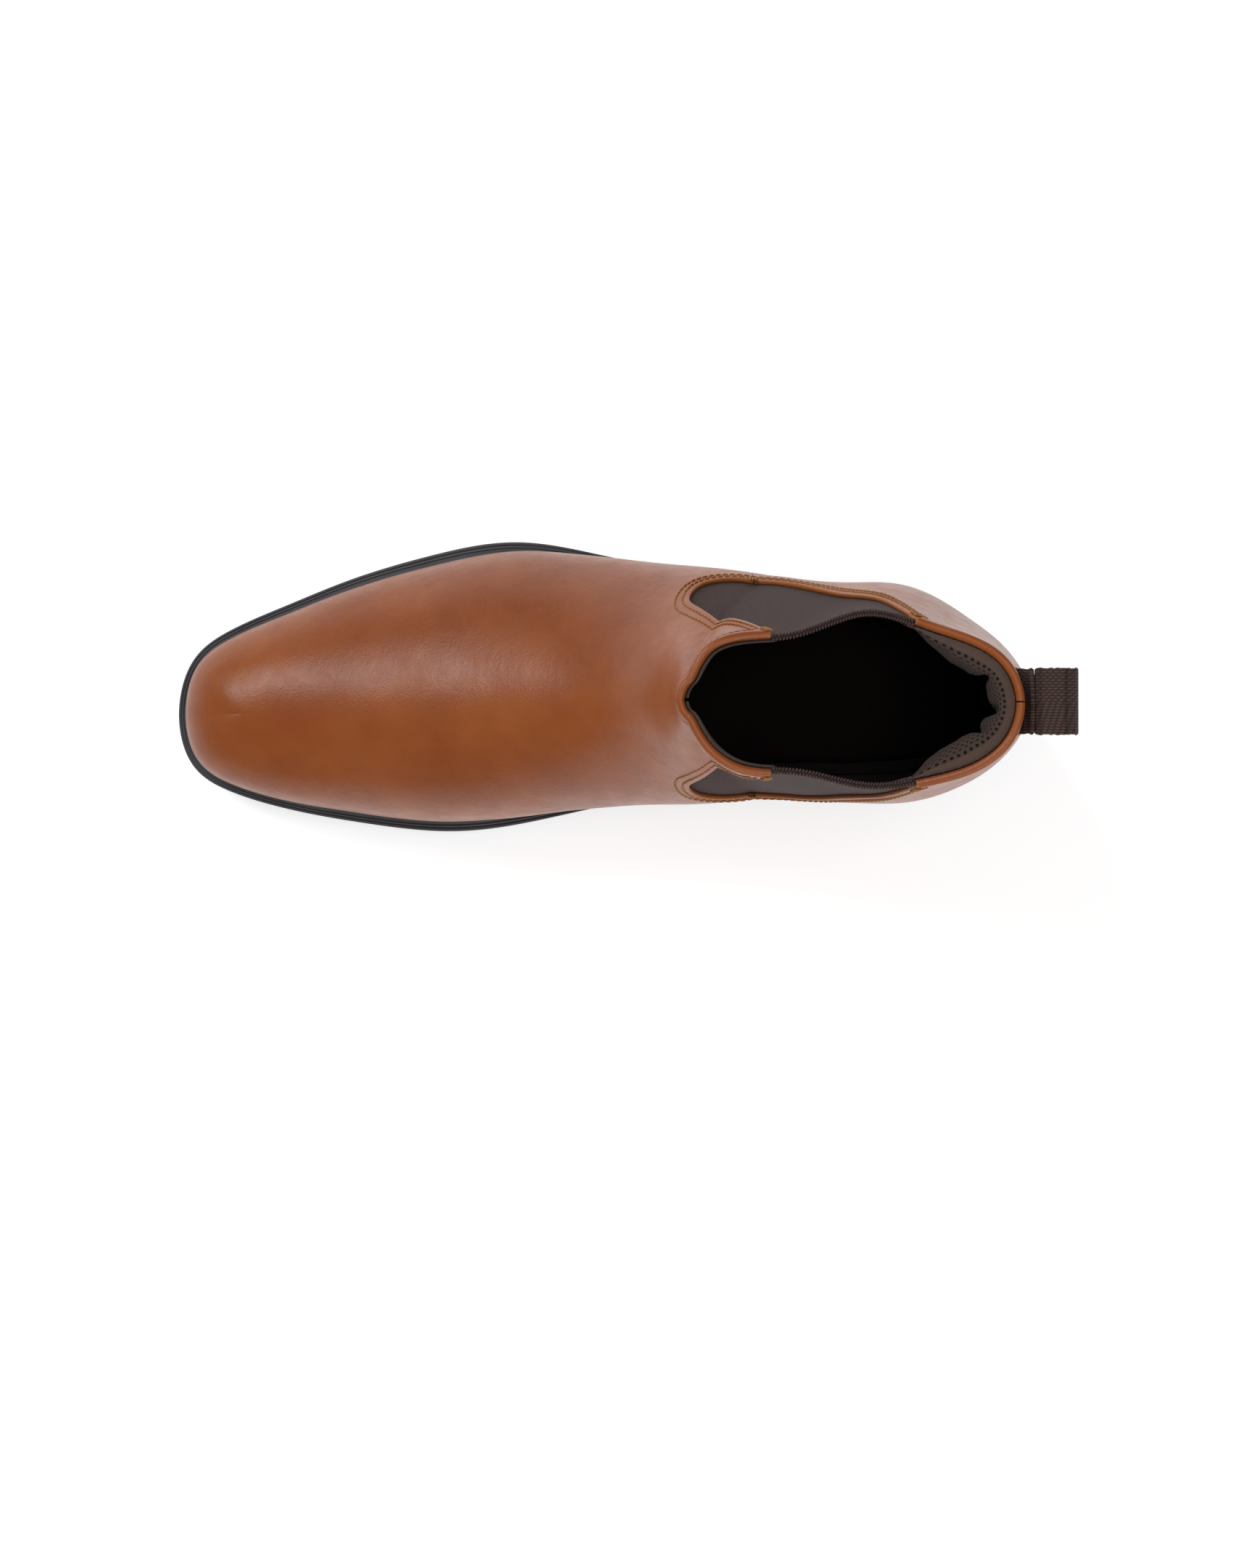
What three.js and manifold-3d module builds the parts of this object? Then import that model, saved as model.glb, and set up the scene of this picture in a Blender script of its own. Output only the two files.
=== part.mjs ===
// A right-foot chelsea boot: a leather upper with two elastic side gores, lined and padded inside,
// lasted over an insole board and cemented to a black rubber sole with a low stacked heel.
// Millimetres, +Z up. The toe points along -X, the heel along +X, the outer (lateral) side is +Y.
// The origin is on the ground under the middle of the boot.
import * as THREE from "three";
import { mergeVertices } from "three/addons/utils/BufferGeometryUtils.js";
import Module from "manifold-3d";

const wasm = await Module();
wasm.setup();

// ---------------------------------------------------------------- driving dimensions
const UPPER_LENGTH = 300; // the feather line (where the upper meets the sole), toe to heel
const BALL_WIDTH = 97; // the feather line across the ball of the foot
const SHAFT_HEIGHT = 126; // back of the collar above the feather line
const HEEL_HEIGHT = 30; // feather line above the ground at the heel
const TOE_SPRING = 8; // how far the toe curls up off the ground
const GAP = 0.3; // clearance between neighbouring pieces

const LEATHER = 1.6; // upper leather
const STIFFENER = 1.2; // gores, toe puff and heel counter
const LINING = 1.0;
const COLLAR_PAD = 5.0; // foam at the back of the collar, at its thickest
const LASTING_MARGIN = 13; // leather turned in under the insole board

const OUTSOLE = 4.0;
const MIDSOLE = 3.0;
const WELT = 2.6;
const RIM_TOE = 3.4; // how far the sole stands out past the upper
const RIM_BALL = 4.2;
const RIM_WAIST = 0.6;
const RIM_HEEL = 1.2;
const HEEL_BREAST = 60; // x of the front face of the heel
const TOP_PIECE = 6; // rubber lift that the heel stands on
const NAIL_RADIUS = 1.1;
const NAIL_HEAD_RADIUS = 2.2;
const NAIL_HEAD = 1.0;
const NAIL_INSET = 4.5; // from the lasting margin to the middle of a nail

const BOARD = 2.0; // insole board
const SHANK_WIDTH = 14;
const FOOTBED_TOE = 3.0;
const FOOTBED_HEEL = 5.0;
const SOCK = 1.0; // leather cover of the footbed

const GORE_LAP = 8; // how far the elastic runs on under the leather
const BINDING_HEIGHT = 4.0; // corded top edge of the gore
const BINDING_THICKNESS = 2.4;

const TAB_WIDTH = 22.3;
const TAB_WEBBING = 1.5;
const TAB_REACH = 14.7; // how far the loop stands out behind its seam
const TAB_LOOP = 10.6; // outside height of the loop at its bend
const TAB_BELOW_COLLAR = 8;
const TAB_ANCHOR_HEIGHT = 14;

const STITCH_ROWS = [2.2, 4.8]; // distances of the two thread rows from a gore's leather edge
const THREAD_WIDTH = 0.9;
const THREAD_HEIGHT = 0.4;

// ---------------------------------------------------------------- curves
// The natural cubic spline through (knots[i], values[i]).
function cubic(knots, values) {
  const n = knots.length;
  const upper = new Array(n).fill(0);
  const bend = new Array(n).fill(0);
  for (let i = 1; i < n - 1; i++) {
    const before = knots[i] - knots[i - 1];
    const after = knots[i + 1] - knots[i];
    const kink = (values[i + 1] - values[i]) / after - (values[i] - values[i - 1]) / before;
    const pivot = 2 * (before + after) - before * upper[i - 1];
    upper[i] = after / pivot;
    bend[i] = (6 * kink - before * bend[i - 1]) / pivot;
  }
  for (let i = n - 2; i > 0; i--) bend[i] -= upper[i] * bend[i + 1];
  return (x) => {
    let i = 0;
    while (i < n - 2 && x > knots[i + 1]) i++;
    const h = knots[i + 1] - knots[i];
    const a = (knots[i + 1] - x) / h;
    const b = 1 - a;
    const curve = ((a ** 3 - a) * bend[i] + (b ** 3 - b) * bend[i + 1]) * ((h * h) / 6);
    return a * values[i] + b * values[i + 1] + curve;
  };
}

const mix = (a, b, w) => a + (b - a) * w;
const smooth = (x) => {
  const w = Math.min(1, Math.max(0, x));
  return w * w * w * (w * (6 * w - 15) + 10);
};

// ---------------------------------------------------------------- the last
// The upper's outer surface is lofted round the foot. Each station is one line that climbs from the
// feather line to the top: s is 0 at the middle of the toe and 1 at the middle of the heel, once down
// the outer side and once down the inner side. From the toe to the front of the shaft the lines of the
// two sides meet on the ridge of the vamp; round the shaft they run on past the collar.
// Lengths are those of a boot whose feather line is 300 long and 97 wide, and are graded from it.
const GRADE_X = UPPER_LENGTH / 300;
const GRADE_Y = BALL_WIDTH / 97;
const GRADE_Z = SHAFT_HEIGHT / 126;

// Stations shared by both sides: s, top x, y and height on the ridge.
const RIDGE = [
  [0.0, -138, -10, 29.5],
  [0.06, -135, -10, 30.8],
  [0.11, -128, -10, 33],
  [0.17, -115, -10, 37],
  [0.26, -97, -9.5, 43.5],
  [0.36, -72, -8.5, 52],
  [0.46, -45, -7.5, 61.5],
  [0.54, -20, -6.3, 72.5],
  [0.6, 0, -5.3, 86.5],
  [0.64, 10, -4.8, 103],
  [0.67, 14.3, -4.6, 121],
  [0.69, 15.6, -4.5, 133],
  [0.71, 16.6, -4.4, 144],
];
// Stations of the virtual top of the shaft, above the collar: s, then x, y and height for each side.
const SHAFT_TOP = {
  1: [
    [0.735, 19.5, 6.3, 150],
    [0.76, 28, 12, 152],
    [0.8, 46, 13.2, 150],
    [0.85, 70, 23.6, 148],
    [0.9, 94, 21.5, 147],
    [0.945, 115, 16.5, 148],
    [0.975, 126.5, 8, 148],
    [1.0, 131, -5, 148],
  ],
  "-1": [
    [0.735, 19.5, -15.6, 150],
    [0.76, 28, -25, 152],
    [0.8, 47, -26.9, 150],
    [0.85, 71, -33.5, 148],
    [0.9, 95, -33.5, 147],
    [0.945, 115, -29, 148],
    [0.975, 127, -19, 148],
    [1.0, 131, -5, 148],
  ],
};
// The feather line, s, x, y, for each side.
const FEATHER = {
  1: [
    [0.0, -159.5, -10.5],
    [0.05, -155.5, 6.5],
    [0.1, -144.5, 16.4],
    [0.17, -124, 25.7],
    [0.26, -98.5, 35.6],
    [0.36, -68, 44],
    [0.46, -37, 48.2],
    [0.54, -9, 44.8],
    [0.61, 16, 40.5],
    [0.67, 36, 36.5],
    [0.73, 57.5, 33.4],
    [0.79, 79, 31],
    [0.85, 100, 27.5],
    [0.91, 119.5, 18.6],
    [0.96, 134, 8],
    [1.0, 140.5, -5.5],
  ],
  "-1": [
    [0.0, -159.5, -10.5],
    [0.05, -155.5, -26.5],
    [0.1, -144.5, -34.8],
    [0.17, -124, -41.3],
    [0.26, -98, -45.9],
    [0.36, -67, -48.7],
    [0.46, -37, -45.8],
    [0.54, -10, -41.3],
    [0.61, 14, -37.8],
    [0.67, 35, -35],
    [0.73, 57, -33.6],
    [0.79, 79, -33.6],
    [0.85, 100, -32.2],
    [0.91, 119.5, -28],
    [0.96, 134, -18.5],
    [1.0, 140.5, -5.5],
  ],
};
// How each line climbs: s, height and outward bulge of its lower handle, then the turn (degrees from
// straight along the ridge to straight across it) and length of its upper handle, and how far that
// handle is drawn in, which hollows the back of the ankle.
const CLIMB = [
  [0.0, 13, 3.0, 0, 13, 0],
  [0.06, 14, 3.0, 38, 15, 0],
  [0.11, 16, 3.0, 62, 18, 0],
  [0.17, 19, 3.0, 80, 22, 0],
  [0.26, 23, 3.0, 90, 26, 0],
  [0.36, 28, 3.5, 90, 29, 0],
  [0.46, 34, 6, 90, 28, 0],
  [0.54, 40, 10, 88, 25, 0],
  [0.61, 45, 14, 78, 26, 0],
  [0.67, 47, 17, 50, 34, 0],
  [0.71, 47, 18, 24, 40, 0],
  [0.74, 47, 17, 6, 44, 0],
  [0.79, 46, 17, 1, 50, -1],
  [0.85, 43, 18, 0, 54, -1],
  [0.91, 42, 14, 0, 56, 4],
  [0.96, 42, 10, 0, 57, 9],
  [1.0, 42, 9, 0, 57, 13],
];
const RIDGE_END = 0.725; // above this station the two sides have parted
const RIDGE_PURE = 0.7; // below this one they share the ridge exactly

// Feather line above the ground, as a function of x: flat at the ball, up to the heel seat, up to the toe.
const TREAD = OUTSOLE + MIDSOLE + WELT + 3 * GAP;
const featherRise = (share) => mix(TREAD, HEEL_HEIGHT, share);
const FEATHER_Z = cubic(
  [-157, -120, -95, -70, -35, 0, 40, 75, 100, 125, 150].map((x) => x * GRADE_X),
  [
    TREAD + TOE_SPRING,
    TREAD + 0.3 * TOE_SPRING,
    TREAD + 0.06 * TOE_SPRING,
    TREAD,
    featherRise(0.06),
    featherRise(0.25),
    featherRise(0.68),
    featherRise(0.95),
    HEEL_HEIGHT,
    HEEL_HEIGHT,
    HEEL_HEIGHT,
  ],
);

// A spline round the whole boot, outer side from 0 to 1 and inner side from 1 to 2, that closes on itself.
function ring(outer, inner, column) {
  const rows = outer
    .map((r) => [r[0], r[column]])
    .concat(inner.slice(1, -1).reverse().map((r) => [2 - r[0], r[column]]));
  const before = rows.slice(-5).map(([s, v]) => [s - 2, v]);
  const after = rows.slice(0, 6).map(([s, v]) => [s + 2, v]);
  const all = [...before, ...rows, ...after];
  return cubic(all.map((r) => r[0]), all.map((r) => r[1]));
}
const topRows = (side) => [...RIDGE, ...SHAFT_TOP[side]];
const featherX = ring(FEATHER[1], FEATHER[-1], 1);
const featherY = ring(FEATHER[1], FEATHER[-1], 2);
const topRing = [1, 2, 3].map((c) => ring(topRows(1), topRows(-1), c));
const ridgeLine = [1, 2, 3].map((c) => cubic(RIDGE.map((r) => r[0]), RIDGE.map((r) => r[c])));
const climbRing = [1, 2, 3, 4, 5].map((c) => ring(CLIMB, CLIMB, c));

// Stations run on past 1 onto the inner side: a is the outer side from 0 to 1, the inner from -1 to 0.
const station = (a) => ((a % 2) + 2) % 2;
const stationOf = (a) => Math.min(station(a), 2 - station(a));
const sideOf = (a) => (station(a) <= 1 ? 1 : -1);

function feather(a) {
  const r = station(a);
  const x = featherX(r) * GRADE_X;
  return new THREE.Vector3(x, featherY(r) * GRADE_Y, FEATHER_Z(x));
}

// The outward direction of the feather line, level.
function outward(a) {
  const step = 0.002;
  const along = feather(a + step).sub(feather(a - step));
  return new THREE.Vector3(-along.y, along.x, 0).normalize();
}

function top(a) {
  const s = stationOf(a);
  const w = smooth((s - RIDGE_PURE) / (RIDGE_END - RIDGE_PURE));
  const [x, y, h] = [0, 1, 2].map((c) => {
    if (w === 0) return ridgeLine[c](s);
    return mix(ridgeLine[c](Math.min(s, 0.71)), topRing[c](station(a)), w);
  });
  const gx = x * GRADE_X;
  return new THREE.Vector3(gx, y * GRADE_Y, FEATHER_Z(gx) + h * GRADE_Z);
}

// The direction in which the ridge climbs at station s.
function ridgeUp(s) {
  const step = 0.002;
  const lower = Math.max(0, Math.min(s, 0.7) - step);
  return top(lower + 2 * step).sub(top(lower)).normalize();
}

// A point of the outer surface: station a, and t from 0 at the feather line to 1 at the top.
function skin(a, t) {
  const s = stationOf(a);
  const r = station(a);
  const [rise, flare, turn, reach, draw] = climbRing.map((f) => f(r));
  const foot = feather(a);
  const head = top(a);
  const out = outward(a);
  const low = foot.clone().addScaledVector(out, flare * GRADE_Y);
  low.z += rise * GRADE_Z;
  const blend = smooth((s - 0.64) / 0.12);
  const up = ridgeUp(s).lerp(head.clone().sub(foot).normalize(), blend).normalize();
  const angle = THREE.MathUtils.degToRad(turn);
  const high = head.clone().addScaledVector(up, -Math.cos(angle) * reach * GRADE_Z);
  high.y += sideOf(a) * Math.sin(angle) * reach * GRADE_Y;
  high.addScaledVector(out, -draw * GRADE_X);
  const u = 1 - t;
  return foot
    .multiplyScalar(u ** 3)
    .addScaledVector(low, 3 * u * u * t)
    .addScaledVector(high, 3 * u * t * t)
    .addScaledVector(head, t ** 3);
}

// The outward normal of the surface there. On the ridge it is the same from both sides.
function normal(a, t) {
  const s = stationOf(a);
  if (t > 0.9999 && s < RIDGE_PURE) {
    const up = ridgeUp(s);
    return new THREE.Vector3(-up.z, 0, up.x).normalize();
  }
  const step = 0.004;
  const t0 = Math.max(0.0005, t - step);
  const t1 = Math.min(0.9995, t + step);
  const climb = skin(a, t1).sub(skin(a, t0));
  const along = skin(a + step, t).sub(skin(a - step, t));
  return climb.cross(along).normalize();
}

// ---------------------------------------------------------------- solids
function solid(geometry) {
  const bare = geometry.clone();
  bare.deleteAttribute("normal");
  bare.deleteAttribute("uv");
  const welded = mergeVertices(bare, 1e-4);
  return new wasm.Manifold(
    new wasm.Mesh({
      numProp: 3,
      vertProperties: new Float32Array(welded.attributes.position.array),
      triVerts: new Uint32Array(welded.index.array),
    }),
  );
}

// Cutting curved skins can shave off loose crumbs, so only the largest body of a cut is kept.
function whole(shape) {
  const bodies = shape.decompose();
  return bodies.reduce((best, body) => (body.volume() > best.volume() ? body : best));
}

function toGeometry(shape) {
  const { vertProperties, triVerts, numProp } = shape.getMesh();
  const indexed = new THREE.BufferGeometry();
  const points = new Float32Array((vertProperties.length / numProp) * 3);
  for (let i = 0; i < points.length / 3; i++) {
    for (let c = 0; c < 3; c++) points[3 * i + c] = vertProperties[numProp * i + c];
  }
  indexed.setAttribute("position", new THREE.BufferAttribute(points, 3));
  indexed.setIndex(Array.from(triVerts));
  const flat = indexed.toNonIndexed();
  flat.computeVertexNormals();
  return flat;
}

// Stations along one side of the boot, closer together where the surface turns fastest.
const STATIONS = [
  0, 0.04, 0.08, 0.13, 0.19, 0.26, 0.34, 0.42, 0.5, 0.57, 0.62, 0.655, 0.682, 0.7, 0.716, 0.738, 0.765,
  0.8, 0.85, 0.9, 0.94, 0.975, 1,
];
const ROWS = 8;
const COLUMNS = [...STATIONS, ...STATIONS.slice(1, -1).reverse().map((s) => -s)];

// A point sunk `depth` below the skin. Its floor rises by the same depth.
function sunk(a, row, depth) {
  const rise = climbRing[0](station(a)) * GRADE_Z;
  const share = row / ROWS;
  const at = (deep) => {
    const floor = Math.max(0, deep) / (3 * rise);
    return row === ROWS ? 1 : floor + (1 - floor) * share;
  };
  const deep = typeof depth === "function" ? depth(a, at(LEATHER + STIFFENER)) : depth;
  const t = at(deep);
  const p = skin(a, t).addScaledVector(normal(a, t), -deep);
  if (row === 0) p.z = feather(a).z + deep;
  return p;
}

// The closed body of the foot at `depth` under the skin: walls, floor and the top of the shaft.
function last(depth) {
  const n = COLUMNS.length;
  const points = [];
  const faces = [];
  const at = (column, row) => ((column + n) % n) * (ROWS + 1) + row;
  for (const a of COLUMNS) {
    for (let row = 0; row <= ROWS; row++) points.push(...sunk(a, row, depth));
  }
  for (let c = 0; c < n; c++) {
    for (let row = 0; row < ROWS; row++) {
      faces.push(at(c, row), at(c, row + 1), at(c + 1, row));
      faces.push(at(c, row + 1), at(c + 1, row + 1), at(c + 1, row));
    }
  }
  for (let c = 0; c < STATIONS.length - 1; c++) {
    faces.push(at(c, 0), at(c + 1, 0), at(-c, 0), at(c + 1, 0), at(-c - 1, 0), at(-c, 0));
    faces.push(at(c, ROWS), at(-c, ROWS), at(c + 1, ROWS));
    faces.push(at(c + 1, ROWS), at(-c, ROWS), at(-c - 1, ROWS));
  }
  const welded = new THREE.BufferGeometry();
  welded.setAttribute("position", new THREE.Float32BufferAttribute(points, 3));
  welded.setIndex(faces);
  return solid(withoutSlivers(mergeVertices(welded, 1e-4)));
}

function withoutSlivers(geometry) {
  const kept = [];
  const index = geometry.index.array;
  for (let i = 0; i < index.length; i += 3) {
    const [a, b, c] = [index[i], index[i + 1], index[i + 2]];
    if (a !== b && b !== c && a !== c) kept.push(a, b, c);
  }
  geometry.setIndex(kept);
  return geometry;
}

const FAR = 260; // beyond the boot in every direction

function extrude(points, depth) {
  const shape = new THREE.Shape(points.map(([u, v]) => new THREE.Vector2(u, v)));
  return new THREE.ExtrudeGeometry(shape, { depth, bevelEnabled: false, curveSegments: 1 });
}
// An outline drawn in side view, x and z, cut right across the boot.
function sideCut(points, y0 = -FAR, y1 = FAR) {
  const geometry = extrude(points, y1 - y0);
  geometry.rotateX(Math.PI / 2);
  geometry.translate(0, y1, 0);
  return solid(geometry);
}
// An outline drawn in plan, x and y, cut from z0 up to z1.
function planCut(points, z0 = -FAR, z1 = FAR) {
  const geometry = extrude(points, z1 - z0);
  geometry.translate(0, 0, z0);
  return solid(geometry);
}
// An outline drawn from behind, y and z, cut from x0 to x1.
function backCut(points, x0, x1) {
  const geometry = extrude(points, x1 - x0);
  geometry.rotateX(Math.PI / 2);
  geometry.rotateZ(Math.PI / 2);
  geometry.translate(x0, 0, 0);
  return solid(geometry);
}

// ---------------------------------------------------------------- depths of the layers
const UNDER_LEATHER = LEATHER + GAP;
const UNDER_STIFFENER = UNDER_LEATHER + STIFFENER + GAP;
const UNDER_LINING = UNDER_STIFFENER + LINING + GAP;

// The collar's foam swells the lining inwards round the back of the ankle.
function swelling(a, t) {
  const p = skin(a, t);
  const height = (p.z - feather(a).z) / GRADE_Z;
  const round = smooth((p.x / GRADE_X - 97) / 17);
  const low = smooth((height - 66) / 26);
  const high = 1 - 0.55 * smooth((height - 112) / 18);
  return COLLAR_PAD * round * low * high;
}
const liningDepth = (a, t) => UNDER_STIFFENER + swelling(a, t);

const body = last(0);
const underLeather = last(UNDER_LEATHER);
const underStiffener = last(UNDER_STIFFENER);
const insideLining = last((a, t) => liningDepth(a, t) + LINING);
const roomInside = last((a, t) => liningDepth(a, t) + LINING + GAP);

// ---------------------------------------------------------------- outlines in side view
const scaled = (points) => points.map(([x, z]) => [x * GRADE_X, HEEL_HEIGHT + (z - 30) * GRADE_Z]);
const alongSpline = (points, count) =>
  new THREE.CatmullRomCurve3(points.map(([x, z]) => new THREE.Vector3(x, z, 0)), false, "centripetal")
    .getPoints(count)
    .map((p) => [p.x, p.y]);

const GORE = scaled([
  [56, 172],
  [46.5, 149],
  [36, 128],
  [25.5, 106],
  [21, 92],
  [25, 81.5],
  [34, 76.5],
  [44, 75.5],
  [56, 80],
  [66.5, 91],
  [76, 108],
  [86, 128],
  [94.5, 149],
  [102, 172],
]);
const goreLine = alongSpline(GORE, 30);
// The gore's outline grown by `by`.
function goreOutline(by) {
  return goreLine.map(([x, z], i) => {
    const [x0, z0] = goreLine[Math.max(0, i - 1)];
    const [x1, z1] = goreLine[Math.min(goreLine.length - 1, i + 1)];
    const length = Math.hypot(x1 - x0, z1 - z0);
    return [x + (by * (z1 - z0)) / length, z - (by * (x1 - x0)) / length];
  });
}
const goreHole = (by) => sideCut(goreOutline(by).reverse());

const COLLAR = alongSpline(
  scaled([
    [-20, 149],
    [6, 151],
    [17, 152.5],
    [30, 152],
    [46, 149.5],
    [70, 147.5],
    [94, 150],
    [112, 154],
    [131, 157],
    [150, 158.5],
  ]),
  24,
);
// All that lies lower than `drop` under the collar line.
const belowCollar = (drop) =>
  sideCut([
    [-FAR, -FAR],
    [FAR, -FAR],
    [FAR, COLLAR.at(-1)[1] - drop],
    ...COLLAR.map(([x, z]) => [x, z - drop]).reverse(),
    [-FAR, COLLAR[0][1] - drop],
  ]);

const SEAM_X = 43 * GRADE_X; // the side seam between the front panel and the quarters
const front = (by = 0) =>
  sideCut([
    [-FAR, -FAR],
    [SEAM_X - by, -FAR],
    [SEAM_X + 1 - by, 80],
    [SEAM_X + 28 - by, FAR],
    [-FAR, FAR],
  ]);
const back = (by = 0) =>
  sideCut([
    [FAR, -FAR],
    [FAR, FAR],
    [SEAM_X + 28 + by, FAR],
    [SEAM_X + 1 + by, 80],
    [SEAM_X + by, -FAR],
  ]);

// ---------------------------------------------------------------- outlines in plan
// The feather line moved out by `out`, a number or a function of the station.
function soleOutline(out, step = 1 / 23) {
  const points = [];
  for (let a = -1; a < 1 - 1e-9; a += step) {
    const by = typeof out === "function" ? out(stationOf(a)) : out;
    const p = feather(a).addScaledVector(outward(a), by);
    points.push([p.x, p.y]);
  }
  return points;
}
const rimWidth = cubic(
  [0, 0.12, 0.3, 0.46, 0.62, 0.75, 0.88, 1],
  [RIM_TOE, RIM_TOE, RIM_BALL, RIM_BALL, RIM_WAIST + 0.6, RIM_WAIST, RIM_HEEL, RIM_HEEL],
);
const marginHole = planCut(soleOutline(-LASTING_MARGIN), -FAR, HEEL_HEIGHT + 9);

// A band of the sole between two depths under the feather line, in side view.
const LEVELS = [];
for (let x = -190; x <= 190; x += 20) LEVELS.push(x);
const band = (over, under) =>
  sideCut([
    ...LEVELS.map((x) => [x, FEATHER_Z(x) + (typeof under === "function" ? under(x) : under)]),
    ...LEVELS.map((x) => [x, FEATHER_Z(x) + (typeof over === "function" ? over(x) : over)]).reverse(),
  ]);

// ---------------------------------------------------------------- the upper
const leather = body.subtract(last(LEATHER)).subtract(marginHole).intersect(belowCollar(0));

function vamp() {
  return whole(leather.intersect(front()).subtract(goreHole(0)));
}

// The two quarters meet in a seam down the middle of the back.
const backSeam = (by) => {
  const foot = feather(1).y;
  const head = top(1).y;
  return (side) => [
    [foot + side * by, -20],
    [foot + side * by, 30],
    [head + side * by, 150],
    [head + side * by, FAR],
    [side * FAR, FAR],
    [side * FAR, -20],
  ];
};
function quarter(side) {
  const outline = backSeam(GAP / 2)(side);
  const half = backCut(side > 0 ? outline.reverse() : outline, 0, FAR);
  return whole(leather.intersect(back(GAP)).subtract(goreHole(0)).intersect(half));
}

const stiffenerLayer = underLeather.subtract(last(UNDER_LEATHER + STIFFENER));
const sideOfBoot = (side) =>
  side > 0
    ? planCut([[-FAR, -4], [FAR, -4], [FAR, FAR], [-FAR, FAR]])
    : planCut([[-FAR, -FAR], [FAR, -FAR], [FAR, -4], [-FAR, -4]]);

function gore(side) {
  const elastic = stiffenerLayer.intersect(goreHole(GORE_LAP)).intersect(belowCollar(BINDING_HEIGHT + GAP));
  return whole(elastic.intersect(sideOfBoot(side)));
}

// The corded edge that finishes the elastic at the top, between the leather edges.
function goreBinding(side) {
  const outer = last(UNDER_LEATHER + STIFFENER / 2 - BINDING_THICKNESS / 2);
  const inner = last(UNDER_LEATHER + STIFFENER / 2 + BINDING_THICKNESS / 2);
  const cord = outer.subtract(inner).intersect(goreHole(-2 * GAP));
  return whole(cord.intersect(belowCollar(0)).subtract(belowCollar(BINDING_HEIGHT)).intersect(sideOfBoot(side)));
}

// A row of thread standing on the leather at `from` its gore edge, from collar to collar.
function goreStitches(side, from) {
  const ribbon = last(-GAP - THREAD_HEIGHT).subtract(last(-GAP));
  const line = goreHole(from + THREAD_WIDTH / 2).subtract(goreHole(from - THREAD_WIDTH / 2));
  return whole(ribbon.intersect(line).intersect(belowCollar(3)).intersect(sideOfBoot(side)));
}

// A strip of tape that keeps the collar from stretching, under the folded edge of the leather.
const TAPE_DEPTH = 9;
function collarTape(part) {
  const strip = stiffenerLayer.intersect(belowCollar(1)).subtract(belowCollar(TAPE_DEPTH));
  return whole(strip.subtract(goreHole(GORE_LAP + GAP)).intersect(part));
}

function toePuff() {
  const cap = sideCut(scaled([[-FAR, -FAR], [-104, -FAR], [-104, 20], [-111, 90], [-FAR, 90]]));
  return whole(stiffenerLayer.subtract(marginHole).intersect(cap));
}

function heelCounter() {
  const cup = sideCut(scaled([[80, -FAR], [FAR, -FAR], [FAR, 90], [128, 88], [104, 76], [87, 60], [80, 30]]));
  return whole(stiffenerLayer.subtract(marginHole).intersect(cup));
}

const liningLayer = last(liningDepth).subtract(insideLining).subtract(marginHole).intersect(belowCollar(1.2));
const vampLining = () => whole(liningLayer.intersect(front()).subtract(goreHole(0)));
const quarterLining = () => whole(liningLayer.intersect(back(GAP)).subtract(goreHole(0)));

function collarPadding() {
  const foam = underStiffener.subtract(last((a, t) => liningDepth(a, t) - GAP));
  return whole(foam.intersect(belowCollar(2)).subtract(goreHole(2)).intersect(back(30)));
}

// ---------------------------------------------------------------- inside the foot
const FLOOR = UNDER_LINING; // under the insole board, above the feather line
const bedTop = cubic([-160, -60, 0, 60, 150], [FOOTBED_TOE, FOOTBED_TOE, 4, FOOTBED_HEEL, FOOTBED_HEEL]);
const bedFloor = FLOOR + BOARD + GAP;
const nailPlaces = [0.84, 0.91, 1, 1.09, 1.16].map((a) => {
  const place = feather(a).addScaledVector(outward(a), -LASTING_MARGIN - NAIL_INSET);
  return [place.x, place.y];
});
const NAIL_LENGTH = BOARD + FLOOR + TREAD + 8;

function disc(radius, [x, y], z0, z1) {
  const geometry = new THREE.CylinderGeometry(radius, radius, z1 - z0, 12);
  geometry.rotateX(Math.PI / 2);
  geometry.translate(x, y, (z0 + z1) / 2);
  return solid(geometry);
}
const nailBores = (clearance) =>
  nailPlaces
    .map((place) => disc(NAIL_RADIUS + clearance, place, -FAR, FAR))
    .reduce((all, bore) => all.add(bore));

// A heel nail: driven down through the board and the sole into the heel block.
function heelNail(place) {
  const head = HEEL_HEIGHT + FLOOR + BOARD + GAP + NAIL_HEAD;
  const shaft = disc(NAIL_RADIUS, place, head - NAIL_LENGTH, head - 0.2);
  return shaft.add(disc(NAIL_HEAD_RADIUS, place, head - NAIL_HEAD, head));
}
const nailHeads = () =>
  nailPlaces
    .map((place) => disc(NAIL_HEAD_RADIUS + GAP, place, 0, HEEL_HEIGHT + bedFloor + NAIL_HEAD + GAP))
    .reduce((all, head) => all.add(head));

const insoleBoard = () =>
  whole(roomInside.intersect(band(FLOOR + BOARD, FLOOR)).subtract(nailBores(GAP)));

// The footbed fills the bottom of the boot; the sock is its leather cover.
const FOOTBED_FIT = 1.2; // the footbed slides in past the lining
const footRoom = last((a, t) => liningDepth(a, t) + LINING + FOOTBED_FIT);
const footbed = () =>
  whole(footRoom.intersect(band((x) => bedFloor + bedTop(x), bedFloor)).subtract(nailHeads()));
const sock = () =>
  whole(footRoom.intersect(band((x) => bedFloor + bedTop(x) + GAP + SOCK, (x) => bedFloor + bedTop(x) + GAP)));

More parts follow.
